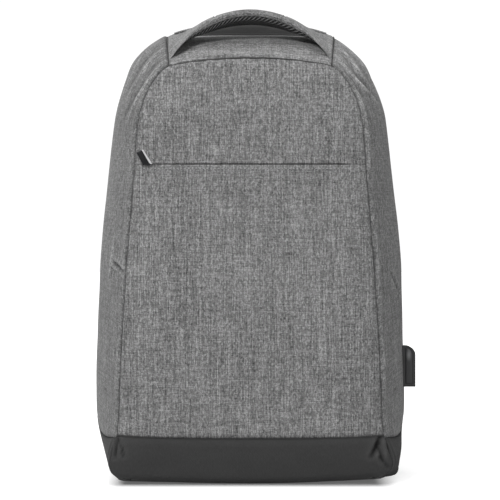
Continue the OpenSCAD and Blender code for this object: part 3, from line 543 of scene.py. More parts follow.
def round_outline(pts, r, n=6):
    """rounds the corners of a polygon"""
    p = np.asarray(pts, float); out = []
    for i in range(len(p)):
        a, b, c = p[i - 1], p[i], p[(i + 1) % len(p)]
        u, v = (a - b) / np.linalg.norm(a - b), (c - b) / np.linalg.norm(c - b)
        rr = min(r, np.linalg.norm(a - b) * 0.45, np.linalg.norm(c - b) * 0.45)
        s, e = b + u * rr, b + v * rr
        for t in np.linspace(0, 1, n):
            out.append((1 - t) ** 2 * s + 2 * t * (1 - t) * b + t * t * e)
    return np.array(out)
def densify(o, step):
    out = []
    for i in range(len(o)):
        a, b = o[i], o[(i + 1) % len(o)]
        m = max(1, int(round(np.linalg.norm(b - a) / step)))
        out += [a + (b - a) * j / m for j in range(m)]
    return np.array(out)

def pillow(name, outline, y0, y1, R, mats, step=4.0, back=0.0, power=0.5, extra=None, rimy=0.35):
    """crowned pad in the XZ plane between y0 (flat side) and y1 (crowned side); back is how far the flat side crowns too"""
    o = densify(np.asarray(outline, float), step)
    if ((np.roll(o, -1, 0)[:, 0] - o[:, 0]) * (np.roll(o, -1, 0)[:, 1] + o[:, 1])).sum() > 0: o = o[::-1]
    P, T, D = poly_fill(o, step)
    T = np.array(T)
    a, b, c = P[T[:, 0]], P[T[:, 1]], P[T[:, 2]]
    cw = ((b[:, 0] - a[:, 0]) * (c[:, 1] - a[:, 1]) - (b[:, 1] - a[:, 1]) * (c[:, 0] - a[:, 0])) < 0
    T[cw] = T[cw][:, ::-1]
    u = np.clip(D / R, 0, 1)
    prof = (1 - (1 - u) ** 2) ** power
    ym = mix(y0, y1, rimy)
    top = ym + (y1 - ym) * prof
    bot = ym + (y0 - ym) * np.clip(prof * 1.6, 0, 1) - back * prof
    if extra is not None: top = top + extra(P[:, 0], P[:, 1], u) * np.sign(y1 - y0)
    m = len(P)
    inner = np.where(D > 0)[0]; mp = np.arange(m); mp[inner] = m + np.arange(len(inner))
    V = np.vstack([np.stack([P[:, 0], top, P[:, 1]], -1), np.stack([P[inner, 0], bot[inner], P[inner, 1]], -1)])
    sgn = y1 > y0
    top_f = T[:, ::-1] if sgn else T
    bot_f = mp[T] if sgn else mp[T][:, ::-1]
    mi = np.concatenate([np.zeros(len(T)), np.full(len(T), len(mats) - 1)]).astype(int)
    W = np.vstack([P, P[inner]])
    return new_obj(name, V, np.vstack([top_f, bot_f]), mats, mi, W)

# ---------------------------------------------------------------- body panels
def polydist(x, y, pts):
    """distance to a polyline and the share of its length at the nearest point"""
    pts = np.asarray(pts, float)
    L = np.concatenate([[0], np.cumsum(np.hypot(*np.diff(pts, axis=0).T))])
    best = np.full(np.shape(x), 1e9); tt = np.zeros(np.shape(x))
    for i in range(len(pts) - 1):
        d, t = seg_dist(x, y, pts[i], pts[i + 1])
        m = d < best
        best = np.where(m, d, best); tt = np.where(m, (L[i] + t * (L[i + 1] - L[i])) / L[-1], tt)
    return best, tt
def smooth_line(pts, n=6, rounds=3):
    """rounds the bends of a polyline by cutting its corners"""
    p = np.asarray(pts, float)
    for _ in range(rounds):
        q = [p[0]]
        for a, b in zip(p[:-1], p[1:]): q += [a * 0.75 + b * 0.25, a * 0.25 + b * 0.75]
        p = np.array(q + [p[-1]])
    return p
def ridge(x, y, pts, w, h):
    d, t = polydist(x, y, smooth_line(pts) if len(pts) > 2 else pts)
    return h * np.exp(-(d / w) ** 2) * np.sin(PI * np.clip(0.06 + 0.88 * t, 0, 1)) ** 0.7

SLIT0, SLIT1 = -101.0, 86.0
def slit_open(x):
    """1 where the pocket slit is open, 0 where it is sewn shut"""
    return ramp(SLIT0 - 3, SLIT0 + 2, x) * (1 - ramp(SLIT1 + 2, SLIT1 + 12, x))

def front_relief(x, z):
    """soft unevenness of the padded front"""
    return 0.45 * swell(x, z, 120, 1) + 0.22 * swell(x, z, 46, 3)

def seam_pull(dist, along, pitch=13.0, depth=0.35, reach=9.0, seed=0):
    """small puckers running off a sewn edge"""
    return -depth * np.exp(-(dist / reach) ** 1.5) * (0.5 + 0.5 * np.sin(along / pitch * 2 * PI + 1.7 * np.sin(along / 31.0 + seed)))

def front_lower():
    z0, z1 = BAND_H + 0.05, SLIT - 0.45
    zz = z0 + (z1 - z0) * marks(z1 - z0, 3.0)
    uu = -1 + 2 * marks(248, 3.0)
    Z, U = np.meshgrid(zz, uu, indexing="ij")
    H = hw(Z); X = U * (H - 0.15)
    op = slit_open(X)
    top = ramp(SLIT - 30, SLIT, Z)
    Zp = Z + 0.3 * (1 - op) * ramp(SLIT - 12, SLIT - 0.45, Z)
    # the seam over the base dips in the middle
    Zp = Zp + (-0.7 + 1.9 * np.abs(U) ** 2.4) * np.exp(-((Z - z0) / 22) ** 2)
    P = np.stack([X, y_seam(Z) - puff(Z) * (1 - np.abs(U) ** 10) - front_relief(X, Z), Zp], -1)
    n = grid_normals(P)
    d = np.zeros(X.shape)
    a, b, c, e = edge_dists(P)
    up = seam_pull(c, Z, 15, 0.45, 8, 0.3) + seam_pull(e, Z, 17, 0.45, 8, 2.1) + seam_pull(a, X, 21, 0.25, 8, 1.1)
    up += 0.55 * np.exp(-((a - 6.5) / 4.5) ** 2)
    P = P - n * (-up)[..., None]
    d = roll_drop(b, 1.2, 0.6) * (0.25 + 0.75 * op * (0.25 + 0.75 * ramp(-82, -56, X)))
    o = shell("front_lower", P, np.stack([X, Z], -1), 3.3, ((3.0, 1.3), None, (3.4, 1.9), (3.4, 1.9)), [M_MEL, M_LINE], drop=d)
    piece(o, "shell", "melange_fabric", "front_panel_lower")

def coons(bottom, top, left, right, na, nb, A, Bv):
    a, b = A, Bv
    Pb, Pt, Pl, Pr = bottom(a), top(a), left(b), right(b)
    aa, bb = a[None, :, None], b[:, None, None]
    return (1 - bb) * Pb[None] + bb * Pt[None] + (1 - aa) * Pl[:, None] + aa * Pr[:, None] - (
        (1 - aa) * (1 - bb) * Pl[0] + aa * (1 - bb) * Pr[0] + (1 - aa) * bb * Pl[-1] + aa * bb * Pr[-1])

def front_upper():
    zb = SLIT + 0.45
    ks = np.interp(zb, FT[:, 1], KF)
    # arc-even parameters along the side and top seams
    def even(k0, k1):
        k = np.linspace(k0, k1, 400); p = loop(FE, k)
        L = np.concatenate([[0], np.cumsum(np.hypot(*np.diff(p, axis=0).T))]); L /= L[-1]
        return lambda t: loop(FE, np.interp(t, L, k))
    right, left, top = even(ks, 17.0), even(40 - ks, 23.0), even(23.0, 17.0)
    def bottom(a):
        return np.stack([(-1 + 2 * a) * hw(zb), np.full(a.shape, zb)], -1)
    A = marks(220, 3.0); Bv = marks(112, 3.0)
    XZ = coons(bottom, top, left, right, 0, 0, A, Bv)
    X, Z = XZ[..., 0], XZ[..., 1]
    P0 = np.stack([X, 0 * X, Z], -1)
    a, b, c, e = edge_dists(P0)
    seam = np.minimum(np.minimum(c, e), b)
    # smooth minimum keeps the corner soft
    seam = -4.0 * np.log(np.exp(-b / 4.0) + np.exp(-c / 4.0) + np.exp(-e / 4.0) + 1e-12)
    seam = np.clip(seam, 0, None)
    f = 1 - (1 - np.clip(seam / 104, 0, 1)) ** 10
    op = slit_open(X)
    Zp = Z - 0.3 * (1 - op) * (1 - ramp(zb, zb + 12, Z))
    P = np.stack([X, y_seam(Z) - puff(Z) * f - front_relief(X, Z) * np.clip(f * 1.2, 0, 1), Zp], -1)
    n = grid_normals(P)
    up = seam_pull(c, Z, 14, 0.45, 8, 0.7) + seam_pull(e, Z, 16, 0.5, 8, 1.4) + seam_pull(b, X, 19, 0.5, 9, 0.2)
    P = P + n * up[..., None]
    d = roll_drop(a, 1.4, 0.75) * (0.20 + 0.80 * op * (0.2 + 0.8 * ramp(-82, -56, X)))
    o = shell("front_upper", P, np.stack([X, Z], -1), 3.3, (None, (3.4, 1.9), (3.4, 1.9), (3.4, 1.9)), [M_MEL, M_LINE], drop=d)
    piece(o, "shell", "melange_fabric", "front_panel_upper")

def bow(x, y, z):
    """how far the lower front edge of the base lifts towards its corners"""
    return np.where(x > 0, 4.8 * np.abs(x / 113) ** 2, 2.8 * np.abs(x / 113) ** 1.9) * (1 - ramp(0, 40, z)) * (1 - ramp(0, 56, y + 63))

def base_front():
    z1 = BAND_H - 0.25
    zz = np.concatenate([[0, 0.8, 1.8, 3, 4.5, 6.2], 8 + (z1 - 8) * marks(z1 - 8, 2.2, False, True)])
    uu = -1 + 2 * marks(256, 2.2)
    Z, U = np.meshgrid(zz, uu, indexing="ij")
    X = U * (hw(Z) - 0.15)
    Zp = Z + (-0.7 + 1.9 * np.abs(U) ** 2.4) * np.exp(-((z1 - Z) / 14) ** 2)
    Y = y_seam(Z) - puff(Z) * (1 - np.abs(U) ** 10) + 5 * (1 - ramp(0, 9, Z)) ** 2 * (1 - np.abs(U) ** 8)
    P = np.stack([X, Y - 0.30 * swell(X, Z, 90, 5), Zp], -1)
    n = grid_normals(P)
    up = 0 * X
    # pleats gathered into the lower corners
    up += crease(X, Z, (-123.2, 44), (-126.0, 24), 1.5, 2.2)
    up += crease(X, Z, (-121.5, 40), (-118.2, 26), 1.5, 1.9)
    up += ridge(X, Z, [(-125.0, 44), (-128.0, 28)], 1.6, 1.0)
    up += crease(X, Z, (121.4, 44), (111.5, 25), 2.0, 2.6)
    up += crease(X, Z, (118.5, 37), (121.5, 20), 1.8, 2.1)
    up += crease(X, Z, (120.0, 24), (127.5, 11), 1.7, 1.6)
    up += ridge(X, Z, [(124.5, 42), (125.5, 24)], 2.0, 1.4)
    up += -1.6 * np.exp(-(((X - 118.5) / 5.5) ** 2 + ((Z - 36) / 7) ** 2))
    # painted highlight on the pleats' ridges and painted shade in their creases
    painted_shade_map = 0.30 * np.clip(up, -2.2, 1.8) * ramp(0, 8, Z)
    up += 0.5 * np.exp(-((edge_dists(P)[1] - 6) / 4) ** 2) + 0.8 * swell(X, Z, 60, 2) * np.exp(-((np.abs(X) - 122) / 22) ** 2)
    up *= ramp(0, 8, Z)
    P = P + n * up[..., None]
    P[..., 2] += bow(P[..., 0], P[..., 1], P[..., 2])
    o = shell("base_front_band", P, np.stack([X, Z], -1), 3.3, ((2.5, 1.0), (2.8, 1.4), (3.2, 1.7), (3.2, 1.7)), [M_BASE, M_LINE], tone=painted_shade_map)
    for vv in o.data.vertices:
        c = vv.co * 1000; lo = float(bow(c.x, c.y, 0.0)) + 0.1
        if c.z < lo: vv.co.z = lo / 1000
    piece(o, "shell", "base_fabric", "base_front")

def arc_of(k, s=0.35):
    kk_ = np.linspace(0, 20, 801)
    p = gp(kk_, np.full(kk_.shape, s))
    L = np.concatenate([[0], np.cumsum(np.linalg.norm(np.diff(p, axis=0), axis=1))])
    return np.interp(k, kk_, L)
def SP(*ks):
    """(k, s) pairs to flat (across, along) places on a side, in mm"""
    return [(s * 116.0, float(arc_of(k))) for k, s in ks]

def side_relief(K, S, right):
    """unevenness of a side, and its painted shading: painted highlights on the fold ridges and the seam roll, painted
    shade in the fold valleys, the left side painted darker towards its top and the right side slightly lighter
    """
    X, Y = S * 116.0, arc_of(K)
    up = 0.7 * swell(X, Y, 110, 4 if right else 8) * np.sin(PI * np.clip(S, 0, 1)) ** 0.5 + 0.25 * swell(X, Y, 40, 6) * np.clip(S * 6, 0, 1)
    body = ramp(5.5, 6.5, K)
    edge = np.exp(-((X - 5.4) / 3.0) ** 2) * (0.75 + 0.25 * np.sin(Y / 17.0 + np.sin(Y / 41.0))) * body
    up += (2.1 if right else 1.4) * edge + seam_pull(X, Y, 14, 0.5, 9, 0.9 if right else 2.2)
    up += 0.6 * np.exp(-((X - 15) / 5) ** 2) * np.sin(Y / 46.0 + (1.0 if right else 2.4)) * body
    f = 0 * X
    if right:
        up -= 2.8 * ramp(13.6, 15.6, K) * ramp(0.35, 0.75, S)
        f += ridge(X, Y, SP((16.95, 0.15), (15.85, 0.085), (15.1, 0.17), (14.27, 0.41), (13.9, 0.50)), 2.38, 2.11)
        f += ridge(X, Y, SP((16.95, 0.40), (15.82, 0.24), (14.9, 0.36), (14.45, 0.43)), 2.12, 1.74)
        f -= ridge(X, Y, SP((16.7, 0.28), (15.8, 0.165), (14.9, 0.28), (14.3, 0.47)), 3.25, 1.36)
        f -= ridge(X, Y, SP((16.9, 0.07), (15.9, 0.035), (14.9, 0.09), (14.0, 0.28)), 2.75, 1.24)
        f += ridge(X, Y, SP((16.7, 0.62), (15.6, 0.47), (14.7, 0.58)), 2.75, 0.99)
        f -= ridge(X, Y, SP((16.7, 0.52), (15.7, 0.36), (14.8, 0.50)), 3.00, 0.87)
        f += ridge(X, Y, SP((15.2, 0.045), (13.6, 0.05), (12.2, 0.06)), 2.75, 0.81)
        f += crease(X, Y, *SP((9.55, 0.30), (8.95, 0.50)), 2.2, 1.5)
        f += crease(X, Y, *SP((9.1, 0.56), (8.8, 0.42)), 2.2, 0.9)
        f += crease(X, Y, *SP((12.3, 0.10), (11.6, 0.03)), 2.0, 1.2)
        f += crease(X, Y, *SP((11.0, 0.10), (10.5, 0.02)), 2.0, 1.0)
        f += crease(X, Y, *SP((7.6, 0.12), (7.3, 0.02)), 2.0, 1.0)
    else:
        up += 1.0 * ramp(14.5, 15.8, K) * (1 - ramp(16.3, 16.9, K)) * ramp(0.35, 0.75, S)
        f += ridge(X, Y, SP((16.95, 0.075), (15.64, 0.05), (14.52, 0.115), (13.6, 0.20)), 2.50, 1.49)
        f -= ridge(X, Y, SP((16.7, 0.17), (15.5, 0.11), (14.4, 0.21), (13.4, 0.36)), 3.12, 1.18)
        f += ridge(X, Y, SP((16.9, 0.34), (15.6, 0.23), (14.4, 0.38)), 2.50, 1.18)
        f -= ridge(X, Y, SP((16.8, 0.45), (15.6, 0.33), (14.5, 0.46)), 2.75, 0.81)
        f += ridge(X, Y, SP((16.6, 0.62), (15.4, 0.48), (14.5, 0.58)), 3.00, 0.81)
        f += ridge(X, Y, SP((10.35, 0.26), (9.9, 0.30), (9.4, 0.34)), 2.25, 1.36)
        f += crease(X, Y, *SP((9.80, 0.27), (9.66, 0.02)), 1.5, 3.0)
        f += crease(X, Y, *SP((9.78, 0.24), (9.35, 0.30)), 1.6, 1.6)
        f += crease(X, Y, *SP((12.6, 0.10), (12.0, 0.02)), 2.0, 1.0)
        f += crease(X, Y, *SP((7.9, 0.12), (7.5, 0.02)), 2.0, 1.0)
    # painted light and shade: ridges lighter, valleys darker, the seam roll lighter, the left side darker towards its
    # top
    return up + f, np.where(f > 0, 0.46, 0.30) * np.clip(f, -2.4, 3.2) + (0.22 if right else 0.10) * edge + (0.04 if right else -0.14 * ramp(11, 14, K) - 0.04)

def mirror_x(P): 
    Q = P.copy(); Q[..., 0] *= -1
    return Q

def gusset(right):
    s = marks(118, 2.0); s = 0.002 + (0.998) * s
    # rows from the base seam to the top seam
    kb = band_k(s) + 0.015
    v = marks(395, 2.0)
    k1 = 16.985
    # spread rows evenly by length
    kline = np.linspace(5.2, k1, 500); L = arc_of(kline)
    def at(f, k0):
        l0 = np.interp(k0, kline, L)
        return np.interp(l0 + f * (L[-1] - l0), L, kline)
    K = np.array([[at(f, k0) for k0 in kb] for f in v])
    S = np.broadcast_to(s, K.shape)
    up, painted_shade_map = side_relief(K, S, right)
    P = gp(K, S, up)
    X = S * 118.0; Y = arc_of(K)
    if not right: P = mirror_x(P)
    o = shell("side_right" if right else "side_left", P, np.stack([X, Y], -1), 3.3, ((3.0, 1.3), (3.2, 1.6), (3.2, 1.8), (3.0, 1.4)), [M_MEL, M_LINE], flip=not right, tone=painted_shade_map)
    piece(o, "shell", "melange_fabric", "side_gusset_right" if right else "side_gusset_left")

def base_side(right):
    s = 0.002 + 0.998 * marks(118, 2.4)
    kb = band_k(s) - 0.015
    v = marks(62, 2.2, False, True)
    K = 2.0 + v[:, None] * (kb[None, :] - 2.0)
    S = np.broadcast_to(s, K.shape)
    X, Z = S * 116.0, lp(K, S)[..., 1]
    up = 0.35 * swell(X, Z, 60, 7) * ramp(2.2, 4, K)
    up += 0.7 * np.exp(-((X - 5) / 3.4) ** 2) * ramp(3.4, 4.6, K)
    if right:
        up += crease(X, Z, (4, 40), (18, 10), 2.2, 1.2)
    else:
        up += crease(X, Z, (5, 40), (14, 18), 2.2, 1.3)
    P = gp(K, S, up * ramp(2.0, 3.2, K))
    if not right: P = mirror_x(P)
    P[..., 2] += bow(P[..., 0], P[..., 1], P[..., 2])
    o = shell("base_right" if right else "base_left", P, np.stack([X, Z], -1), 3.3, ((2.5, 1.0), (2.8, 1.4), (3.2, 1.8), (3.0, 1.4)), [M_BASE, M_LINE], flip=not right)
    piece(o, "shell", "base_fabric", "base_side_right" if right else "base_side_left")

def top_panel():
    s = 0.002 + 0.998 * marks(105, 2.8)
    kl = np.linspace(17.015, 22.985, 300); p = gp(kl, np.full(kl.shape, 0.4))
    L = np.concatenate([[0], np.cumsum(np.linalg.norm(np.diff(p, axis=0), axis=1))])
    v = marks(L[-1], 2.8)
    k = np.interp(v * L[-1], L, kl)
    K, S = np.meshgrid(k, s, indexing="ij")
    A = np.interp(K, kl, L); X = S * 105.0
    cen = 1 - ramp(54, 74, np.abs(A - L[-1] / 2))
    up = 0.5 * swell(X, A, 80, 9) * np.sin(PI * S) ** 0.5 - (1.7 + 2.6 * cen) * ramp(0.25, 0.75, S) - 2.4 * ramp(0.90, 1.0, S) + 2.0 * cen * ramp(0.84, 0.98, S)
    # painted shade: the rear edge darkened between the handle ends, where the handle's shadow falls; a little lighter
    # towards the front seam
    painted_shade_map = -0.80 * cen * ramp(0.80, 0.86, S) + 0.06 * (1 - ramp(0.1, 0.7, S))
    up += 0.9 * np.exp(-((X - 5) / 3.4) ** 2) + seam_pull(X, A, 15, 0.5, 9, 0.4)
    # the cloth is drawn towards the handle ends
    for c in (0.0, L[-1]):
        d = np.abs(A - c)
        up += 0.5 * np.exp(-(d / 14) ** 2) * np.sin(X / 9.0) * np.exp(-((X - 40) / 30) ** 2)
    P = gp(K, S, up)
    o = shell("top_cover", P, np.stack([X, A], -1), 3.3, ((3.2, 1.6), (3.2, 1.6), (3.2, 1.8), (3.0, 1.4)), [M_MEL, M_LINE], tone=painted_shade_map)
    piece(o, "shell", "melange_fabric", "top_panel")

def base_bottom():
    s = marks(122, 4.0); v = np.linspace(-1, 1, 61)
    yy = mix(Y_F, Y_B, s)
    hx = gp(np.full(s.shape, 2.0), s)[:, 0]
    front = y_seam(0.0)
    Y, V = np.meshgrid(yy, v, indexing="ij")
    X = V * (hx[:, None] - 0.4)
    Z = 0.15 + 0 * X
    Yf = mix(y_seam(0.0) - puff(0.0) * (1 - np.abs(V) ** 10) + 5 * (1 - np.abs(V) ** 8) + 0.6, Y_B, s[:, None])
    P = np.stack([X, Yf, Z], -1)
    P[..., 2] += bow(P[..., 0], P[..., 1], P[..., 2])
    o = shell("base_underside", P, np.stack([X, Y], -1), 3.2, ((2, 0.8), (2, 0.8), (2, 0.8), (2, 0.8)), [M_BASE, M_LINE], flip=True)
    piece(o, "shell", "base_fabric", "base_bottom")
    # stitched line round the underside
    ins = (yy > Y_F + 40) & (yy < Y_B - 8)
    q = np.concatenate([np.stack([-hx + 9, yy], -1)[ins], np.stack([hx - 9, yy], -1)[ins][::-1]])
    q = np.concatenate([q, q[:1]])
    st = stitches("base_stitching", np.stack([q[:, 0], q[:, 1], np.full(len(q), 0.25)], -1), M_THREADD, normal=(0, 0, -1), lift=-0.05)
    piece(st, "shell", "base_fabric")

front_lower(); front_upper(); base_front()
gusset(True); gusset(False); base_side(True); base_side(False); top_panel(); base_bottom()

# seams: sewn edges meet in the groove over a dark cord, partly thread and partly painted shade standing in for the
# groove's shadow
def seams():
    k = np.linspace(2.6, 37.4, 900)
    p = loop(FE, k)
    q = loop(FE, k + 0.02) - loop(FE, k - 0.02); t = q / np.linalg.norm(q, axis=1, keepdims=True)
    nx, nz = t[:, 1], -t[:, 0]
    tp = ramp(16.5, 17.3, kk(k)); ins = mix(1.45, 0.75, tp)
    P = np.stack([p[:, 0] - nx * ins, y_seam(p[:, 1]) + mix(1.35, 0.45, tp), p[:, 1] - nz * ins], -1)
    P[:, 2] += bow(P[:, 0], P[:, 1], P[:, 2])
    o = cord("seam_front_loop", resample(P, 1.6), 0.78, M_SEAM_SHADE, up=(0, 1, 0), n=8, ripple=0.12)
    piece(o, "shell", "melange_fabric")
    s = np.linspace(0.0, 0.995, 90)
    for sg, nm in ((1, "right"), (-1, "left")):
        for kf, part in ((np.full(s.shape, 17.0), "top"), (band_k(s), "base")):
            P = gp(kf, s, -2.0)
            if sg < 0: P = mirror_x(P)
            o = cord("seam_%s_%s" % (part, nm), resample(P, 1.6), 0.85 if part == "base" else 0.45, M_SEAM_SHADE, up=(0, 0, 1) if part == "base" else (1, 0, 0.3), n=8, ripple=0.12)
            piece(o, "shell", "melange_fabric")
    U = np.linspace(-0.995, 0.995, 200); z = BAND_H - 0.1
    P = np.stack([U * hw(z), y_seam(z) - puff(z) * (1 - np.abs(U) ** 10) + 1.8, z - 0.7 + 1.9 * np.abs(U) ** 2.4], -1)
    o = cord("seam_base_front", resample(P, 1.6), 0.85, M_SEAM_SHADE, up=(0, 1, 0), n=8, ripple=0.12)
    piece(o, "shell", "melange_fabric")
seams()

# stitching under the pocket slit
xs = np.linspace(SLIT0 + 1, SLIT1 + 4, 220)
zs = SLIT - 4.0
us = xs / hw(zs)
ys = y_seam(zs) - puff(zs) * (1 - np.abs(us) ** 10) - front_relief(xs, zs) - 0.02
st = stitches("slit_stitching", np.stack([xs, ys, np.full(xs.shape, zs)], -1), M_THREAD, pitch=3.5, length=2.0, r=0.36, normal=(0, -1, 0), lift=0.22)
piece(st, "shell", "melange_fabric")

# ---------------------------------------------------------------- front pocket behind the slit
ZY = float(y_seam(SLIT) - puff(SLIT) + PT + 6)
def pocket():
    xx = np.linspace(-104, 99, 80)
    for sgn, nm in ((1, "upper"), (-1, "lower")):
        zz = SLIT + sgn * np.linspace(0.9, 12.6, 9)
        Z, X = np.meshgrid(zz, xx, indexing="ij")
        P = np.stack([X, ZY - 0.35 + 0 * X, Z], -1)
        o = shell("pocket_tape_" + nm, P, np.stack([X, Z], -1), 0.7, (None,) * 4, [M_TAPE], flip=sgn < 0)
        piece(o, "shell", "black_webbing", *(("pocket_zip_tape",) if sgn > 0 else ()))
        teeth("pocket_teeth_" + nm, np.stack([xx, np.full(xx.shape, ZY), np.full(xx.shape, SLIT)], -1), np.array([0, 0, sgn * 1.0]), (0, 1, 0), 0.5 * (sgn > 0), "shell")
    # thin pocket bag
    v = np.linspace(-1, 1, 45)
    U, Z = np.meshgrid(v, np.linspace(57.5, 315, 60), indexing="ij")
    w = (Z - 186.25) / 128.75
    e = np.clip(np.maximum(np.abs(U) ** 14, np.abs(w) ** 18), 0, 1)
    P = np.stack([U * 104, ZY + 12.6 - 10.9 * e, Z], -1)
    P[..., 1] -= 0.5 * (1 - e) * (1 + swell(P[..., 0], Z, 70, 3)) 
    o = shell("pocket_bag", P, np.stack([U * 104, Z], -1), 0.7, (None,) * 4, [M_LINE], flip=True)
    piece(o, "shell", "lining_fabric", "pocket_lining")

def pull_tab():
    """flat metal tab on the pocket slider, with a pale strip along its right edge: a painted highlight standing in for
    the metal's shine
    """
    o = pillow("pocket_pull_tab", round_outline([(-107.2, 310.6), (-100.9, 314.1), (-91.6, 299.2), (-100.9, 298.9)], 0.7, 4), -56.3, -57.75, 0.8, [M_DARKM], step=0.7, rimy=0.5)
    piece(o, "pocket_tab", "dark_metal", "pocket_pull")
    o = pillow("pocket_pull_strip", round_outline([(-102.2, 313.1), (-100.6, 313.6), (-92.0, 299.8), (-94.4, 299.7)], 0.35, 3), -57.4, -58.2, 0.4, [M_EDGE_GLINT], step=0.5, rimy=0.4)
    piece(o, "pocket_tab", "bright_metal", "pocket_pull_trim")
    # pin through the slider's lug, on the axis the tab lifts about
    ax = np.array([0.857167, 0, 0.515038]); c0 = np.array([-95.0, -57.0523, 300.0])
    o = cord("pocket_pull_pin", np.stack([c0 + ax * t for t in (-2.4, -0.8, 0.8, 2.4)]), 0.56, M_DARKM, n=12)
    piece(o, "pocket_tab", "dark_metal")

def teeth(name, path, side, nrm, phase, body, pitch=2.0, r0=-0.35, r1=2.0, th=1.0):
    """zip teeth along a path; side points from the chain's middle towards the tape"""
    p = np.asarray(path, float)
    L = np.concatenate([[0], np.cumsum(np.linalg.norm(np.diff(p, axis=0), axis=1))])
    x = np.arange(phase * pitch + 1.0, L[-1] - 1.0, pitch)
    side = np.broadcast_to(np.asarray(side, float), p.shape)
    n = np.asarray(nrm, float)
    V, Fc = [], []
    for q in x:
        c = np.array([np.interp(q, L, p[:, i]) for i in range(3)])
        sd = np.array([np.interp(q, L, side[:, i]) for i in range(3)])
        t = np.cross(sd, n); t /= np.linalg.norm(t)
        b = len(V)
        prof = [(r0, 0.30), (r0 + 0.35, 0.62), (r0 + 0.75, 0.34), (r1, 0.50), (r1, -0.50), (r0 + 0.75, -0.34), (r0 + 0.35, -0.62), (r0, -0.30)]
        for lv, sc in ((-th, 0.82), (-th * 0.8, 1.0), (th * 0.8, 1.0), (th, 0.82)):
            for a, w in prof: V.append(c + sd * (0.9 + (a - 0.9) * sc) + t * w * sc * 0.92 + n * lv)
        for j in range(3):
            for m in range(8): Fc.append((b + j * 8 + m, b + j * 8 + (m + 1) % 8, b + (j + 1) * 8 + (m + 1) % 8, b + (j + 1) * 8 + m))
        Fc.append(tuple(b + m for m in range(7, -1, -1))); Fc.append(tuple(b + 24 + m for m in range(8)))
    o = new_obj(name, V, Fc, [M_TOOTH], smooth=False)
    piece(o, body, "dark_metal")
pocket(); pull_tab()

# ---------------------------------------------------------------- carry handle
def hc(u):
    u = np.asarray(u, float)
    return np.stack([76 * u, mix(-7.0, -5.0, u * u), 447 - 29 * KZ * u * u - 1.6 * ramp(0.95, 1.06, np.abs(u))], -1)
def htilt(u): return np.radians(24.5 * (np.abs(u) / 0.93) ** 2.2)
def hthick(u): return 1 - 0.78 * ramp(0.5, 0.93, np.abs(u))
def hflare(u): return ramp(0.62, 1.0, np.abs(u)) ** 1.6
def hsweep(U, prof, extra=None):
    """prof(u) gives the ring as (across -1..1, height in mm) points"""
    rings = []
    for u in U:
        pr = np.asarray(prof(u), float)
        c = hc(u); m = 58 * KZ * abs(u) / 76; q = hthick(u) * math.sqrt(1 + m * m) if abs(u) < 0.93 else hthick(0.93) * math.sqrt(1 + (58 * KZ * 0.93 / 76) ** 2)
        a = htilt(u); b = np.array([0, math.cos(a), math.sin(a)]); n = np.array([0, -math.sin(a), math.cos(a)])
        fr = np.clip(-pr[:, :1] / 18.0, 0, 1.15) ** 2 * hflare(u)
        rings.append(c + pr[:, :1] * b + pr[:, 1:] * q * n + fr * np.array([-2.6 * np.sign(u), -8.2, -0.6]))
    return np.array(rings)
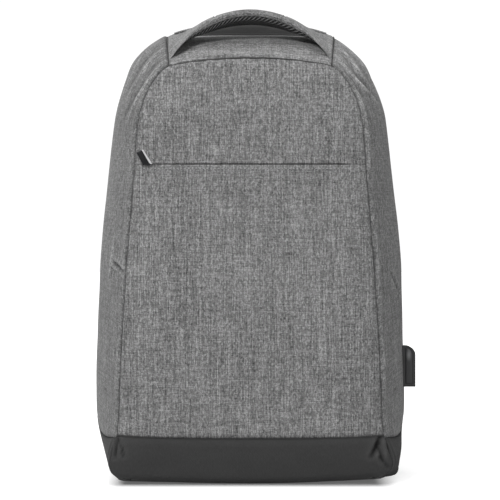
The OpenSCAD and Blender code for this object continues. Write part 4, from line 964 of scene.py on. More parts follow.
def handle():
    U = np.concatenate([-np.linspace(1.055, 0.93, 9)[:-1], np.linspace(-0.93, 0.93, 121), np.linspace(0.93, 1.055, 9)[1:]])
    # cover: wraps the top and both edges of the pad
    def cover(u):
        g = 0.55 * (np.exp(-((abs(u) - 0.445) / 0.012) ** 2))
        w = 20.3 - 0.25 * math.sin(u * 40) * 0.3 + 0.5 * (1 - hthick(u)) - 0.4 * g
        out = []
        edge = [(w - 3.4, -2.7), (w - 3.0, -3.3), (w - 1.9, -3.6), (w - 0.8, -3.2), (w - 0.15, -2.4), (w + 0.15, -1.6), (w + 0.25, -0.6), (w + 0.15, 0.6), (w - 0.3, 1.6), (w - 1.1, 2.4), (w - 2.2, 3.0)]
        tops = [(x * w, 3.1 + 1.5 * (1 - (x / 0.84) ** 2) - g) for x in np.linspace(0.84, -0.84, 19)]
        out = edge + tops + [(-a, z) for a, z in edge[::-1]]
        out += [(-(w - 2.6), -2.5), (-(w - 2.4), -0.75)] + [(x * w, -0.6) for x in np.linspace(-0.82, 0.82, 11)] + [((w - 2.4), -0.75), ((w - 2.6), -2.5)]
        return out
    R = hsweep(U, cover)
    o = tube("handle_cover", R, [M_MEL])
    piece(o, None, "melange_fabric", "handle_sleeve", "handle_tabs", blend=("shell", "carry_handle", (0, -0.006, 0.4185), (0, -0.006, 0.4305)))
    Up = np.linspace(-0.97, 0.97, 240)
    def pad(u):
        w, out = 18.0, []
        dn = -7.6 * (1 - 0.25 * ramp(0.8, 0.97, abs(u)))
        rr = 3.2
        for a in np.linspace(0, -PI / 2, 9): out.append((w - rr + rr * math.cos(a), dn + rr + rr * math.sin(a)))
        for x in np.linspace(0.80, -0.80, 27): out.append((x * w, dn - 0.35 * (1 - x * x)))
        for a in np.linspace(-PI / 2, 0, 9): out.append((-(w - rr + rr * math.cos(a)), dn + rr + rr * math.sin(a)))
        for x in np.linspace(-1, 1, 11): out.append((x * w, -0.75))
        return out[::-1]
    R = hsweep(Up, pad)
    o = tube("handle_mesh", R, [M_AIRH])
    piece(o, None, "air_mesh", "handle_pad", blend=("shell", "carry_handle", (0, -0.006, 0.4185), (0, -0.006, 0.4305)))
    # stitching along both edges and across the grip
    for sgn, nm in ((-1, "front"), (1, "rear")):
        uu = np.linspace(-0.80, 0.80, 150)
        pts = hsweep(uu, lambda u: [(sgn * 20.5, -1.5)])[:, 0]
        st = stitches("handle_stitching_" + nm, pts, M_THREADD, pitch=3.3, length=2.2, r=0.22, normal=(0, sgn, 0), lift=-0.05)
        piece(st, "carry_handle", "melange_fabric")
    for sgn in (-1, 1):
        for off in (-0.022, 0.022):
            u0 = sgn * 0.445 + off
            pts = hsweep([u0], lambda u: [(x, 4.62 - 1.5 * (x / 17) ** 2) for x in np.linspace(-16, 16, 28)])[0]
            st = stitches("handle_cross_%s_%s" % ("r" if sgn > 0 else "l", "a" if off < 0 else "b"), pts, M_THREADD, pitch=3.0, length=2.0, r=0.22, normal=(0, 0, 1), lift=-0.02)
            piece(st, "carry_handle", "melange_fabric")
    # webbing sewn under the top seams takes the load
    for sgn in (1, -1):
        k = np.linspace(16.7, 17.3, 9); s = np.linspace(0.15, 0.6, 15)
        K, S = np.meshgrid(k, s, indexing="ij")
        P = gp(K, S, -(PT + 1.3))
        if sgn < 0: P = mirror_x(P)
        o = shell("handle_anchor_" + ("right" if sgn > 0 else "left"), P, np.stack([S * 116, arc_of(K)], -1), 1.4, ((0.6, 0.3),) * 4, [M_WEB], flip=sgn < 0)
        piece(o, "shell", "black_webbing", *(("handle_anchors",) if sgn > 0 else ()))
handle()

# ---------------------------------------------------------------- rear edge, zip, sill and hinge
def inset(k, d):
    """rear outline moved inwards by d, as x, z"""
    p = loop(BE, k); q = loop(BE, np.asarray(k) + 0.02) - loop(BE, np.asarray(k) - 0.02)
    t = q / np.linalg.norm(q, axis=-1, keepdims=True)
    n = np.stack([t[..., 1], -t[..., 0]], -1)
    return p - n * np.asarray(d)[..., None], n
def even_k(k0, k1, step, d=8.0):
    k = np.linspace(k0, k1, 2000); p, _ = inset(k, np.full(k.shape, d))
    L = np.concatenate([[0], np.cumsum(np.hypot(*np.diff(p, axis=0).T))])
    x = np.linspace(0, L[-1], int(L[-1] / step) + 1)
    return np.interp(x, L, k), x
KZ0 = float(np.interp(26.5, loop(BE, np.linspace(3, 8, 200))[:, 1], np.linspace(3, 8, 200)))
def rear_edge():
    k, x = even_k(2.4, 37.6, 3.0, 1.7)
    p, _ = inset(k, np.full(k.shape, 1.75))
    o = cord("rear_edge_piping", np.stack([p[:, 0], np.full(len(p), 56.1), p[:, 1]], -1), 1.45, M_BIND, up=(0, 1, 0), n=10)
    piece(o, "shell", "base_fabric")
    k, x = even_k(KZ0, 40 - KZ0, 3.0)
    for nm, ds, body, node in (("shell", np.linspace(3.2, 10.6, 7), "shell", "main_zip_tape_shell"), ("door", np.linspace(11.4, 24.0, 9), "rear_panel", "main_zip_tape_door")):
        K, D = np.meshgrid(k, ds, indexing="ij")
        q, _ = inset(K, D)
        P = np.stack([q[..., 0], np.full(K.shape, 55.4), q[..., 1]], -1)
        o = shell("zip_tape_" + nm, P, np.stack([D, np.broadcast_to(x[:, None], K.shape)], -1), 0.8, (None,) * 4, [M_TAPE], flip=True)
        piece(o, body, "black_webbing", node)
        m, n = inset(k, np.full(k.shape, 11.0))
        path = np.stack([m[:, 0], np.full(len(m), 55.0), m[:, 1]], -1)
        side = np.stack([n[:, 0], 0 * k, n[:, 1]], -1) * (1 if nm == "shell" else -1)
        teeth("zip_teeth_" + nm, path, side, (0, 1, 0), 0.0 if nm == "shell" else 0.5, body, pitch=2.4, th=1.25)
        # inset of the stitch row that holds the tape; no stitches are drawn
        dd = 5.2 if nm == "shell" else 13.0
    # sill under the door and the cloth hinge
    xx = np.linspace(-1, 1, 60)
    zz = np.array([1.0, 3.5, 6, 9, 11.5, 13.2])
    Z, U = np.meshgrid(zz, xx, indexing="ij")
    hwid = np.interp(Z, loop(BE, np.linspace(2, 5, 60))[:, 1], loop(BE, np.linspace(2, 5, 60))[:, 0]) - 3.6
    P = np.stack([U * hwid, 56.0 - 0.15 * swell(U * 120, Z, 40, 2), Z], -1)
    o = shell("rear_sill_strip", P, np.stack([U * 120, Z], -1), 2.8, ((1.2, 0.6), (1.2, 0.6), (1.5, 0.8), (1.5, 0.8)), [M_BASE, M_LINE], flip=True)
    piece(o, "shell", "base_fabric", "rear_sill")
    # cloth behind the lower ends of the zip
    for sg, nm in ((1, "right"), (-1, "left")):
        zz = np.linspace(9, 38, 15); Z, U = np.meshgrid(zz, np.linspace(0.80, 1.0, 12), indexing="ij")
        bl = loop(BE, np.linspace(2, 8, 200))
        P = np.stack([sg * U * (np.interp(Z, bl[:, 1], bl[:, 0]) - 3.2), 53.6 + 0.2 * swell(U * 120, Z, 20, 3), Z], -1)
        o = shell("zip_end_cloth_" + nm, P, np.stack([U * 120, Z], -1), 0.9, ((0.5, 0.3),) * 4, [M_BASE], flip=sg > 0)
        piece(o, "shell", "base_fabric")
    path = np.array([[55.9, 7.5], [56.6, 10.2], [57.6, 12.6], [58.6, 15.2], [59.0, 18.0], [59.3, 22.0]])
    xx = np.linspace(-107, 107, 70)
    I, X = np.meshgrid(np.linspace(0, 5, 21), xx, indexing="ij")
    P = np.stack([X, np.interp(I, range(6), path[:, 0]) + 1.0, np.interp(I, range(6), path[:, 1])], -1)
    o = shell("cloth_hinge", P, np.stack([X, P[..., 2]], -1), 1.3, ((0.6, 0.3), (0.6, 0.3), (0.6, 0.3), (0.6, 0.3)), [M_BIND], flip=True)
    piece(o, None, "base_fabric", blend=("shell", "rear_panel", (0, 0.0573, 0.0118), (0, 0.0592, 0.0178)))
    o = cord("hinge_piping_cord", np.stack([np.linspace(-106, 106, 90), np.full(90, 57.6), np.full(90, 14.0)], -1), 1.15, M_BIND, up=(0, 1, 0), n=10)
    piece(o, "shell", "base_fabric", "door_hinge_piping")
rear_edge()

# ---------------------------------------------------------------- rear panel
def clip_z(P, z0, r=10):
    """keeps the part of a closed outline above z0"""
    out = []
    for i in range(len(P)):
        a, b = P[i - 1], P[i]
        if (a[1] < z0) != (b[1] < z0):
            t = (z0 - a[1]) / (b[1] - a[1]); out.append(a + t * (b - a))
        if b[1] >= z0: out.append(b)
    return np.array(out)
def rear_outline(d, z0):
    k, _ = even_k(2.6, 37.4, 4.0, d)
    p, _ = inset(k, np.full(k.shape, d))
    return clip_z(p, z0)

def rear_panel():
    o1 = rear_outline(15.2, 17.6)
    def crown(x, z, u): return 0.5 * swell(x, z, 90, 5) * u
    o = pillow("back_cover", o1, 56.5, 62.2, 7.0, [M_MEL, M_LINE], step=5.0, extra=crown, rimy=0.45)
    piece(o, "rear_panel", "melange_fabric", "back_board")
    p = densify(rear_outline(15.4, 17.8), 3.0)
    o = cord("back_cover_piping", np.stack([p[:, 0], np.full(len(p), 58.9), p[:, 1]], -1), 1.5, M_BIND, closed=True)
    piece(o, "rear_panel", "base_fabric")
    st = stitches("back_cover_stitching", np.array([[a[0], 61.2, a[1]] for a in np.vstack([densify(rear_outline(20.5, 23.5), 3.0)])]), M_THREADD, normal=(0, 1, 0), lift=0.1)
    piece(st, "rear_panel", "melange_fabric")
    # mesh field under the pads
    o2 = round_outline([[-114, 26], [114, 26], [118, 132], [116, 252], [103, 349], [83, 377], [-83, 377], [-103, 349], [-116, 252], [-118, 132]], 14)
    o = pillow("back_mesh_field", o2, 61.6, 63.0, 4.0, [M_AIR], step=6.0, rimy=0.5)
    piece(o, "rear_panel", "air_mesh")
    p = densify(o2, 3.0)
    o = cord("mesh_field_binding", np.stack([p[:, 0], np.full(len(p), 62.9), p[:, 1]], -1), 1.3, M_BIND, closed=True)
    piece(o, "rear_panel", "base_fabric")
rear_panel()

def cloth_pad(name, outline, y0, y1, body, slot_, nodes, mat, grooves=(), seed=0):
    """padded panel blown up as cloth from a flat closed shape, then quilted"""
    o = pillow("tmp_pad", outline, y0, y1 - (3.2), 9.0, [mat], step=5.0, rimy=0.28)
    base_y = y0 * 0.001
    for x in scene.objects: x.select_set(False)
    bpy.context.view_layer.objects.active = o; o.select_set(True)
    m = o.modifiers.new("remesh", "REMESH"); m.mode = "VOXEL"; m.voxel_size = 0.0048; m.use_smooth_shade = True
    dg = bpy.context.evaluated_depsgraph_get(); me = bpy.data.meshes.new_from_object(o.evaluated_get(dg))
    old = o.data; o.modifiers.clear(); o.data = me; bpy.data.meshes.remove(old)
    rest = np.empty(len(me.vertices) * 3); me.vertices.foreach_get("co", rest); rest = rest.reshape(-1, 3)
    # the back of the pad stays flat against the panel
    g = o.vertex_groups.new(name="held")
    held = np.where(rest[:, 1] < base_y + 0.0030)[0]
    g.add([int(i) for i in held], 1.0, "REPLACE")
    c = o.modifiers.new("cloth", "CLOTH"); cs = c.settings
    cs.quality = 6; cs.mass = 0.25; cs.tension_stiffness = 12; cs.compression_stiffness = 12; cs.shear_stiffness = 6; cs.bending_stiffness = 0.4
    cs.use_pressure = True; cs.uniform_pressure_force = 4.0; cs.vertex_group_mass = "held"; cs.pin_stiffness = 1.0
    cs.effector_weights.gravity = 0.0
    c.collision_settings.use_collision = False; c.collision_settings.use_self_collision = False
    c.point_cache.frame_start, c.point_cache.frame_end = 1, 20
    for f in range(1, 21): scene.frame_set(f)
    dg = bpy.context.evaluated_depsgraph_get(); me2 = bpy.data.meshes.new_from_object(o.evaluated_get(dg))
    new = np.empty(len(me2.vertices) * 3); me2.vertices.foreach_get("co", new); new = new.reshape(-1, 3)
    o.modifiers.clear(); scene.frame_set(1)
    mv = new - rest; ln = np.linalg.norm(mv, axis=1, keepdims=True)
    new = rest + mv * np.minimum(1, 0.0060 / np.maximum(ln, 1e-9))
    new[:, 1] = np.minimum(new[:, 1], y1 * 0.001 + 0.0016)
    me2.vertices.foreach_set("co", new.ravel()); me2.update()
    old = o.data; o.data = me2; bpy.data.meshes.remove(old)
    s = o.modifiers.new("sub", "SUBSURF"); s.levels = s.render_levels = 1
    dg = bpy.context.evaluated_depsgraph_get(); me3 = bpy.data.meshes.new_from_object(o.evaluated_get(dg))
    old = o.data; o.modifiers.clear(); o.data = me3; bpy.data.meshes.remove(old)
    o.vertex_groups.clear()
    me = o.data
    co = np.empty(len(me.vertices) * 3); me.vertices.foreach_get("co", co); co = co.reshape(-1, 3) * 1000
    front = ramp(y0 + 2, y0 + 5, co[:, 1])
    for a, b, w, dp in grooves:
        d, t = seg_dist(co[:, 0], co[:, 2], a, b)
        co[:, 1] -= front * dp * np.exp(-(d / w) ** 2)
    co[:, 1] -= front * 0.3 * swell(co[:, 0], co[:, 2], 50, seed)
    me.vertices.foreach_set("co", (co * 0.001).ravel())
    me.materials.clear(); me.materials.append(mat)
    me.polygons.foreach_set("use_smooth", np.ones(len(me.polygons), bool))
    if "wv" in me.attributes: me.attributes.remove(me.attributes["wv"])
    at = me.attributes.new("wv", "FLOAT_VECTOR", "POINT")
    wv = np.zeros((len(co), 3)); wv[:, 0], wv[:, 1] = co[:, 0] * 0.001, co[:, 2] * 0.001
    at.data.foreach_set("vector", wv.ravel())
    me.update()
    o.name = name; me.name = name
    piece(o, body, slot_, *nodes)
    return o

PU = [[9, 143], [112, 143], [110, 250], [98, 343], [78, 369], [9, 369]]
PL = [[9, 33], [104, 33], [112, 61], [112, 125], [9, 125]]
def mx(p): return [[-a, b] for a, b in p][::-1]
GU = [((14, 205), (108, 199), 3.2, 2.6), ((14, 262), (106, 258), 3.2, 2.6), ((14, 318), (98, 314), 3.2, 2.6)]
GL = [((14, 79), (108, 79), 3.2, 2.4)]
def mg(g): return [((-a[0], a[1]), (-b[0], b[1]), w, d) for a, b, w, d in g]
cloth_pad("back_pad_upper_right", round_outline(PU, 14), 62.9, 73.6, "rear_panel", "air_mesh", ("back_pads",), M_AIR, GU, 1)
cloth_pad("back_pad_upper_left", round_outline(mx(PU), 14), 62.9, 73.6, "rear_panel", "air_mesh", (), M_AIR, mg(GU), 2)
cloth_pad("back_pad_lower_right", round_outline(PL, 14), 62.9, 73.6, "rear_panel", "air_mesh", (), M_AIR, GL, 3)
cloth_pad("back_pad_lower_left", round_outline(mx(PL), 14), 62.9, 73.6, "rear_panel", "air_mesh", (), M_AIR, mg(GL), 4)

def yoke():
    x = np.linspace(86, -86, 45)
    arch = np.stack([x, 421 * KZ + 28 * np.sqrt(1 - (x / 100) ** 2)], -1)
    arch[:, 1] += 0.6; arch[:, 0] *= 0.985
    o_ = round_outline(np.vstack([arch[1:-1], [[-86, 423], [-86, 381.5], [86, 381.5], [86, 423]]]), 7, 5)
    def ex(xx, zz, u): return 0.5 * swell(xx, zz, 60, 2) * u - 1.3 * np.exp(-((zz - 389) / 2.4) ** 2) * u
    o = pillow("yoke", o_, 63.2, 74.3, 8.0, [M_MEL, M_BASE], step=3.6, extra=ex, rimy=0.30)
    # painted shade: its front is dark only between the handle ends, where the handle's shadow falls
    for f in o.data.polygons:
        if f.material_index == 1 and abs(f.center[0]) > 0.060: f.material_index = 0
    piece(o, "rear_panel", "melange_fabric", "back_yoke")
    p = resample(np.stack([arch[2:-2, 0], np.full(len(arch) - 4, 65.6), arch[2:-2, 1] - 0.2], -1), 2.5)
    # painted shade: the piping is dark between the handle ends, in the handle's shadow, and melange beyond them
    for nm, m in (("yoke_piping", np.abs(p[:, 0]) < 60), ("yoke_piping_right", p[:, 0] > 57), ("yoke_piping_left", p[:, 0] < -57)):
        dark = nm == "yoke_piping"
        o = cord(nm, p[m], 1.15, M_BIND if dark else M_MEL, up=(0, 1, 0), n=10)
        piece(o, "rear_panel", "base_fabric" if dark else "melange_fabric")
    p = resample(np.stack([arch[:, 0] * 0.93, np.full(len(arch), 73.4), arch[:, 1] - 8.5], -1), 3)
    st = stitches("yoke_stitching", p, M_THREADD, normal=(0, 1, 0), lift=0.1)
    piece(st, "rear_panel", "melange_fabric")
    # cloth joining the yoke to the back cover below it
    xx = np.linspace(-84, 84, 50); zz = np.linspace(376, 392, 9)
    Z, X = np.meshgrid(zz, xx, indexing="ij")
    P = np.stack([X, mix(62.8, 66.0, ramp(376, 390, Z)), Z], -1)
    o = shell("yoke_foot", P, np.stack([X, Z], -1), 0.9, ((0.5, 0.3),) * 4, [M_BASE], flip=True)
    piece(o, "rear_panel", "base_fabric")
yoke()

ANCH = np.array([44, 81.5, 412.0]); SW, STT = 62.0, 12.0
def hems():
    for sg, nm in ((1, "right"), (-1, "left")):
        a = np.radians(np.concatenate([np.linspace(238, 180, 12), np.linspace(175, 4, 34)]))
        xx = np.linspace(-SW / 2 - 1, SW / 2 + 1, 26)
        A, X = np.meshgrid(a, xx, indexing="ij")
        r = 7.3 + 0.18 * np.sin(X / 4.0 + A * 2)
        # angle 0 points away from the panel, 180 towards it, 90 up
        P = np.stack([sg * (ANCH[0] + X), ANCH[1] + r * np.cos(A), ANCH[2] + r * np.sin(A)], -1)
        o = shell("strap_hem_" + nm, P, np.stack([X, A * 7], -1), 1.6, ((0.8, 0.5), (0.8, 0.5), (0.8, 0.4), (0.8, 0.4)), [M_MEL, M_LINE], flip=sg < 0)
        piece(o, "rear_panel", "melange_fabric", *(("strap_hems",) if sg > 0 else ()))
        for j, ang in enumerate((35.0, 150.0)):
            x = np.linspace(-SW / 2 + 1.5, SW / 2 - 1.5, 40); t = math.radians(ang)
            pts = np.stack([sg * (ANCH[0] + x), np.full(40, ANCH[1] + 7.35 * math.cos(t)), np.full(40, ANCH[2] + 7.35 * math.sin(t))], -1)
            st = stitches("strap_hem_stitching_%s_%d" % (nm, j), pts, M_THREADD, normal=(0, math.cos(t), math.sin(t)), lift=0.05)
            piece(st, "rear_panel", "melange_fabric")
hems()

# ---------------------------------------------------------------- shoulder straps
def sc(v):
    v = np.asarray(v, float)
    return np.stack([mix(44, 92, ramp(0, 1, v)), mix(82, 85, v) + 24 * np.sin(PI * np.clip(v, 0, 1) ** 0.8), mix(404, 122, v)], -1)
def swid(v): return mix(SW, 44.0, ramp(0.45, 1, v))
def sframe(v):
    c = sc(v); q = sc(np.minimum(1, v + 0.02)) - sc(np.maximum(0, v - 0.02))
    t = q / np.linalg.norm(q, axis=-1, keepdims=True)
    b = np.array([1.0, 0, 0]) - t * t[..., :1]; b /= np.linalg.norm(b, axis=-1, keepdims=True)
    return c, t, b, np.cross(t, b)
def straps():
    for sg, nm in ((1, "right"), (-1, "left")):
        body = "strap_" + nm
        fl_ = (lambda P: P) if sg > 0 else mirror_x
        v = np.linspace(0, 1, 110)
        c, t, b, n = sframe(v)
        L = np.concatenate([[0], np.cumsum(np.linalg.norm(np.diff(c, axis=0), axis=1))])
        w = swid(v) / 2 - 1.6
        # rounded foot and thinner neck
        end = np.sqrt(np.clip(1 - ((L - (L[-1] - 12)) / 13).clip(0, 1) ** 2, 0.02, 1))
        w = w * mix(0.62, 1, end)
        h = (STT / 2 - 0.3) * mix(0.55, 1, ramp(0, 26, L)) * mix(0.4, 1, ramp(0, 14, L[-1] - L))
        ang = np.linspace(0, 2 * PI, 44, endpoint=False)
        ca, sa = np.cos(ang), np.sin(ang)
        ex = np.sign(ca) * np.abs(ca) ** 0.42; ey = np.sign(sa) * np.abs(sa) ** 0.62
        puck = 1 + 0.05 * np.sin(L / 9.0)[:, None] * (np.abs(ca) > 0.5)
        R = c[:, None] + b[:, None] * (w[:, None] * ex)[..., None] + n[:, None] * (h[:, None] * ey * puck)[..., None]
        # a quilting line down the outer face
        lens = (ey < -0.5)
        off = np.exp(-((w[:, None] * ex) / 1.5) ** 2) * lens * ramp(30, 40, L)[:, None] * 1.1
        R = R + n[:, None] * off[..., None]
        mi = [1 if 0.06 < a < PI - 0.06 else 0 for a in ang + PI / 44]
        W = np.stack([w[:, None] * ex, np.repeat(L[:, None], 44, 1)], -1)
        R2 = R if sg > 0 else mirror_x(R)[:, ::-1]
        W2 = W if sg > 0 else W[:, ::-1]
        mi2 = mi if sg > 0 else [mi[(42 - j) % 44] for j in range(44)]
        o = tube("strap_%s_padding" % nm, R2[:, ::-1] if True else R2, [M_MEL, M_AIR], W2[:, ::-1], [mi2[(42 - j) % 44] for j in range(44)])
        piece(o, body, "melange_fabric", "strap_pad_" + nm)
        # binding sewn over both edges and round the foot
        eb = []
        lo = c - b * (w + 0.2)[:, None]; hi = c + b * (w + 0.2)[:, None]
        path = np.concatenate([lo[3:], hi[3:][::-1]])
        path = resample(fl_(path), 3.0)
        p, tt, s_, u_ = frames_along(path, (0, 1, 0))
        a2 = np.linspace(0, 2 * PI, 12, endpoint=False)
        Rr = p[:, None] + 1.9 * np.cos(a2)[None, :, None] * s_[:, None] + 3.0 * np.sin(a2)[None, :, None] * u_[:, None]
        o = tube("strap_%s_binding" % nm, Rr[:, ::-1], [M_BIND])
        piece(o, body, "base_fabric")
        for e, side in ((-1, "a"), (1, "b")):
            q = c[4:-6] + b[4:-6] * (e * (w[4:-6] - 3.6))[:, None] - n[4:-6] * (h[4:-6] * 0.93)[:, None]
            nn = -np.mean(n, axis=0); nn /= np.linalg.norm(nn)
            st = stitches("strap_%s_stitching_%s" % (nm, side), fl_(q), M_THREADD, normal=nn * np.array([sg, 1, 1]), lift=0.2)
            piece(st, body, "melange_fabric")
        # neck that runs up into the hem
        zz = np.linspace(0, 1, 14)
        pc = np.stack([np.full(14, 44.0), mix(82.0, 81.5, zz), mix(405.5, 413.0, zz)], -1)
        hw_, hh = mix(29.4, 28.4, zz), mix(3.6, 3.9, zz)
        a3 = np.linspace(0, 2 * PI, 36, endpoint=False)
        e3 = np.sign(np.cos(a3)) * np.abs(np.cos(a3)) ** 0.35; f3 = np.sign(np.sin(a3)) * np.abs(np.sin(a3)) ** 0.7
        Rn = pc[:, None] + np.stack([hw_[:, None] * e3, hh[:, None] * f3, 0 * hw_[:, None] * e3], -1)
        if sg < 0: Rn = mirror_x(Rn)[:, ::-1]
        o = tube("strap_%s_neck" % nm, Rn, [M_BIND])
        piece(o, body, "base_fabric")
        # webbing sewn down the foot of the pad, ending in the loop that holds the ladder lock
        lock = np.array([92, 85.4, 108.0])
        vv = np.linspace(0.80, 1.0, 30); c2, t2, b2, n2 = sframe(vv)
        top_ = c2 - n2 * 5.9
        yz = [(p_[1], p_[2]) for p_ in top_]
        dn = [(85.4 + 2.9, 116.0), (85.4 + 3.05, 110.0)]
        arc = [(85.4 + 2.95 * math.cos(a), 108 + 2.95 * math.sin(a)) for a in np.radians(np.linspace(0, -180, 15))]
        up_ = [(85.4 - 3.0, 111), (85.4 - 2.6, 117), (84.2, 122.5)]
        line = np.array(yz + dn + arc + up_)
        xc = np.interp(line[:, 1], [108, 122, 180], [92, 92, float(sc(0.8)[0])])
        xc[len(yz):] = 92
        path = resample(np.stack([xc, line[:, 0], line[:, 1]], -1), 1.6)
        strip("strap_%s_loop" % nm, fl_(path), 12.3, 1.5, body, "black_webbing", ("strap_loop_" + nm,))
        for j, z in enumerate((126.0, 129.0)):
            i = int(np.argmin(abs(c2[:, 2] - z - 6)))
            q = np.array([top_[i] + np.array([x, 0.6, 0]) for x in np.linspace(-10.5, 10.5, 16)])
            st = stitches("strap_%s_bartack_%d" % (nm, j), fl_(q), M_THREADD, pitch=2.4, length=2.2, r=0.35, normal=(0, 1, 0), lift=0.6)
            piece(st, body, "black_webbing")
        # free tail through the ladder lock
        y = lock[1]
        tail = np.array([[92, y + 2.0, 85.7], [92, y + 2.0, 92], [92, y + 2.0, 96.0], [92, y + 2.5, 97.7], [92, y + 3.3, 97.9], [92, y + 3.9, 96.5], [92, y + 4.3, 92], [92, y + 4.6, 84], [92, y + 4.6, 75], [92, y + 5.4, 66], [92, y + 6.2, 59]])
        tail[7:, 1] = [y + 4.4, y + 4.4, y + 4.5, y + 4.6]
        strip("webbing_tail_" + nm + "_run", fl_(resample(tail, 1.6)), 12.3, 1.5, "buckle_" + nm, "black_webbing", ("webbing_tail_" + nm,), fold=True)
        # lower webbing from the corner tab to the ladder lock
        wp = np.array([[110.5, 76.4, 31], [109, 77.1, 36], [103.5, 78.6, 51], [98.0, 80.6, 65], [94.6, 82.2, 75], [92.6, 83.4, 80.5], [92, 84.3, 84.2], [92, 86.3, 86.8]])
        strip("webbing_%s_run" % nm, fl_(resample(wp, 2.0)), 12.2, 1.4, None, "black_webbing", ("webbing_" + nm,), blend=("rear_panel", body, (sg * 0.104, 0.079, 0.050), (sg * 0.0925, 0.0835, 0.083)))
        # corner tab
        tb = round_outline([[92, 22], [122, 22], [122, 34], [117, 46], [97, 52]], 4)
        if sg < 0: tb = np.array(mx(tb.tolist()))
        o = pillow("strap_tab_" + nm, tb, 73.0, 76.0, 3.0, [M_BASE], step=3.0, rimy=0.45)
        piece(o, "rear_panel", "base_fabric", *(("strap_tabs",) if sg > 0 else ()))
        # block under the tab, joining it to the panel
        bl = round_outline([[100, 21], [121, 21], [121, 36], [100, 36]], 4)
        if sg < 0: bl = np.array(mx(bl.tolist()))
        o = pillow("strap_tab_base_" + nm, bl, 61.5, 74.0, 3.0, [M_BASE], step=4.0, rimy=0.5)
        piece(o, "rear_panel", "base_fabric")
        st = stitches("strap_tab_stitching_" + nm, np.array([[sg * a, 76.1, z] for a, z in densify(round_outline([[95, 24.5], [119.5, 24.5], [119.5, 33], [115.5, 44], [98.5, 49]], 3), 2.5)]), M_THREADD, normal=(0, 1, 0), lift=0.05)
        piece(st, "rear_panel", "base_fabric")

def strip(name, path, hw_, th, body, slot_, nodes, fold=False, blend=None, wdir=(1, 0, 0), mat=None):
    """flat webbing along a path in the YZ plane; hw_ is half its width"""
    p = np.asarray(path, float)
    t = np.gradient(p, axis=0); t /= np.linalg.norm(t, axis=1, keepdims=True)
    b = np.asarray(wdir, float) - t * (t @ np.asarray(wdir, float))[:, None]; b /= np.linalg.norm(b, axis=1, keepdims=True)
    n = np.cross(t, b)
    prof = [(-1, -0.3), (-0.97, -0.5)] + [(x, -0.5) for x in np.linspace(-0.85, 0.85, 9)] + [(0.97, -0.5), (1, -0.3), (1, 0.3), (0.97, 0.5)] + [(x, 0.5) for x in np.linspace(0.85, -0.85, 9)] + [(-0.97, 0.5), (-1, 0.3)]
    pr = np.array(prof)
    R = p[:, None] + b[:, None] * (pr[:, 0] * hw_)[None, :, None] + n[:, None] * (pr[:, 1] * th)[None, :, None]
    L = np.concatenate([[0], np.cumsum(np.linalg.norm(np.diff(p, axis=0), axis=1))])
    W = np.stack([np.broadcast_to(pr[:, 0] * hw_, R.shape[:2]), np.broadcast_to(L[:, None], R.shape[:2])], -1)
    o = tube(name, R[:, ::-1], [mat or M_WEB], W[:, ::-1])
    return piece(o, body, slot_, *nodes, blend=blend)
straps()

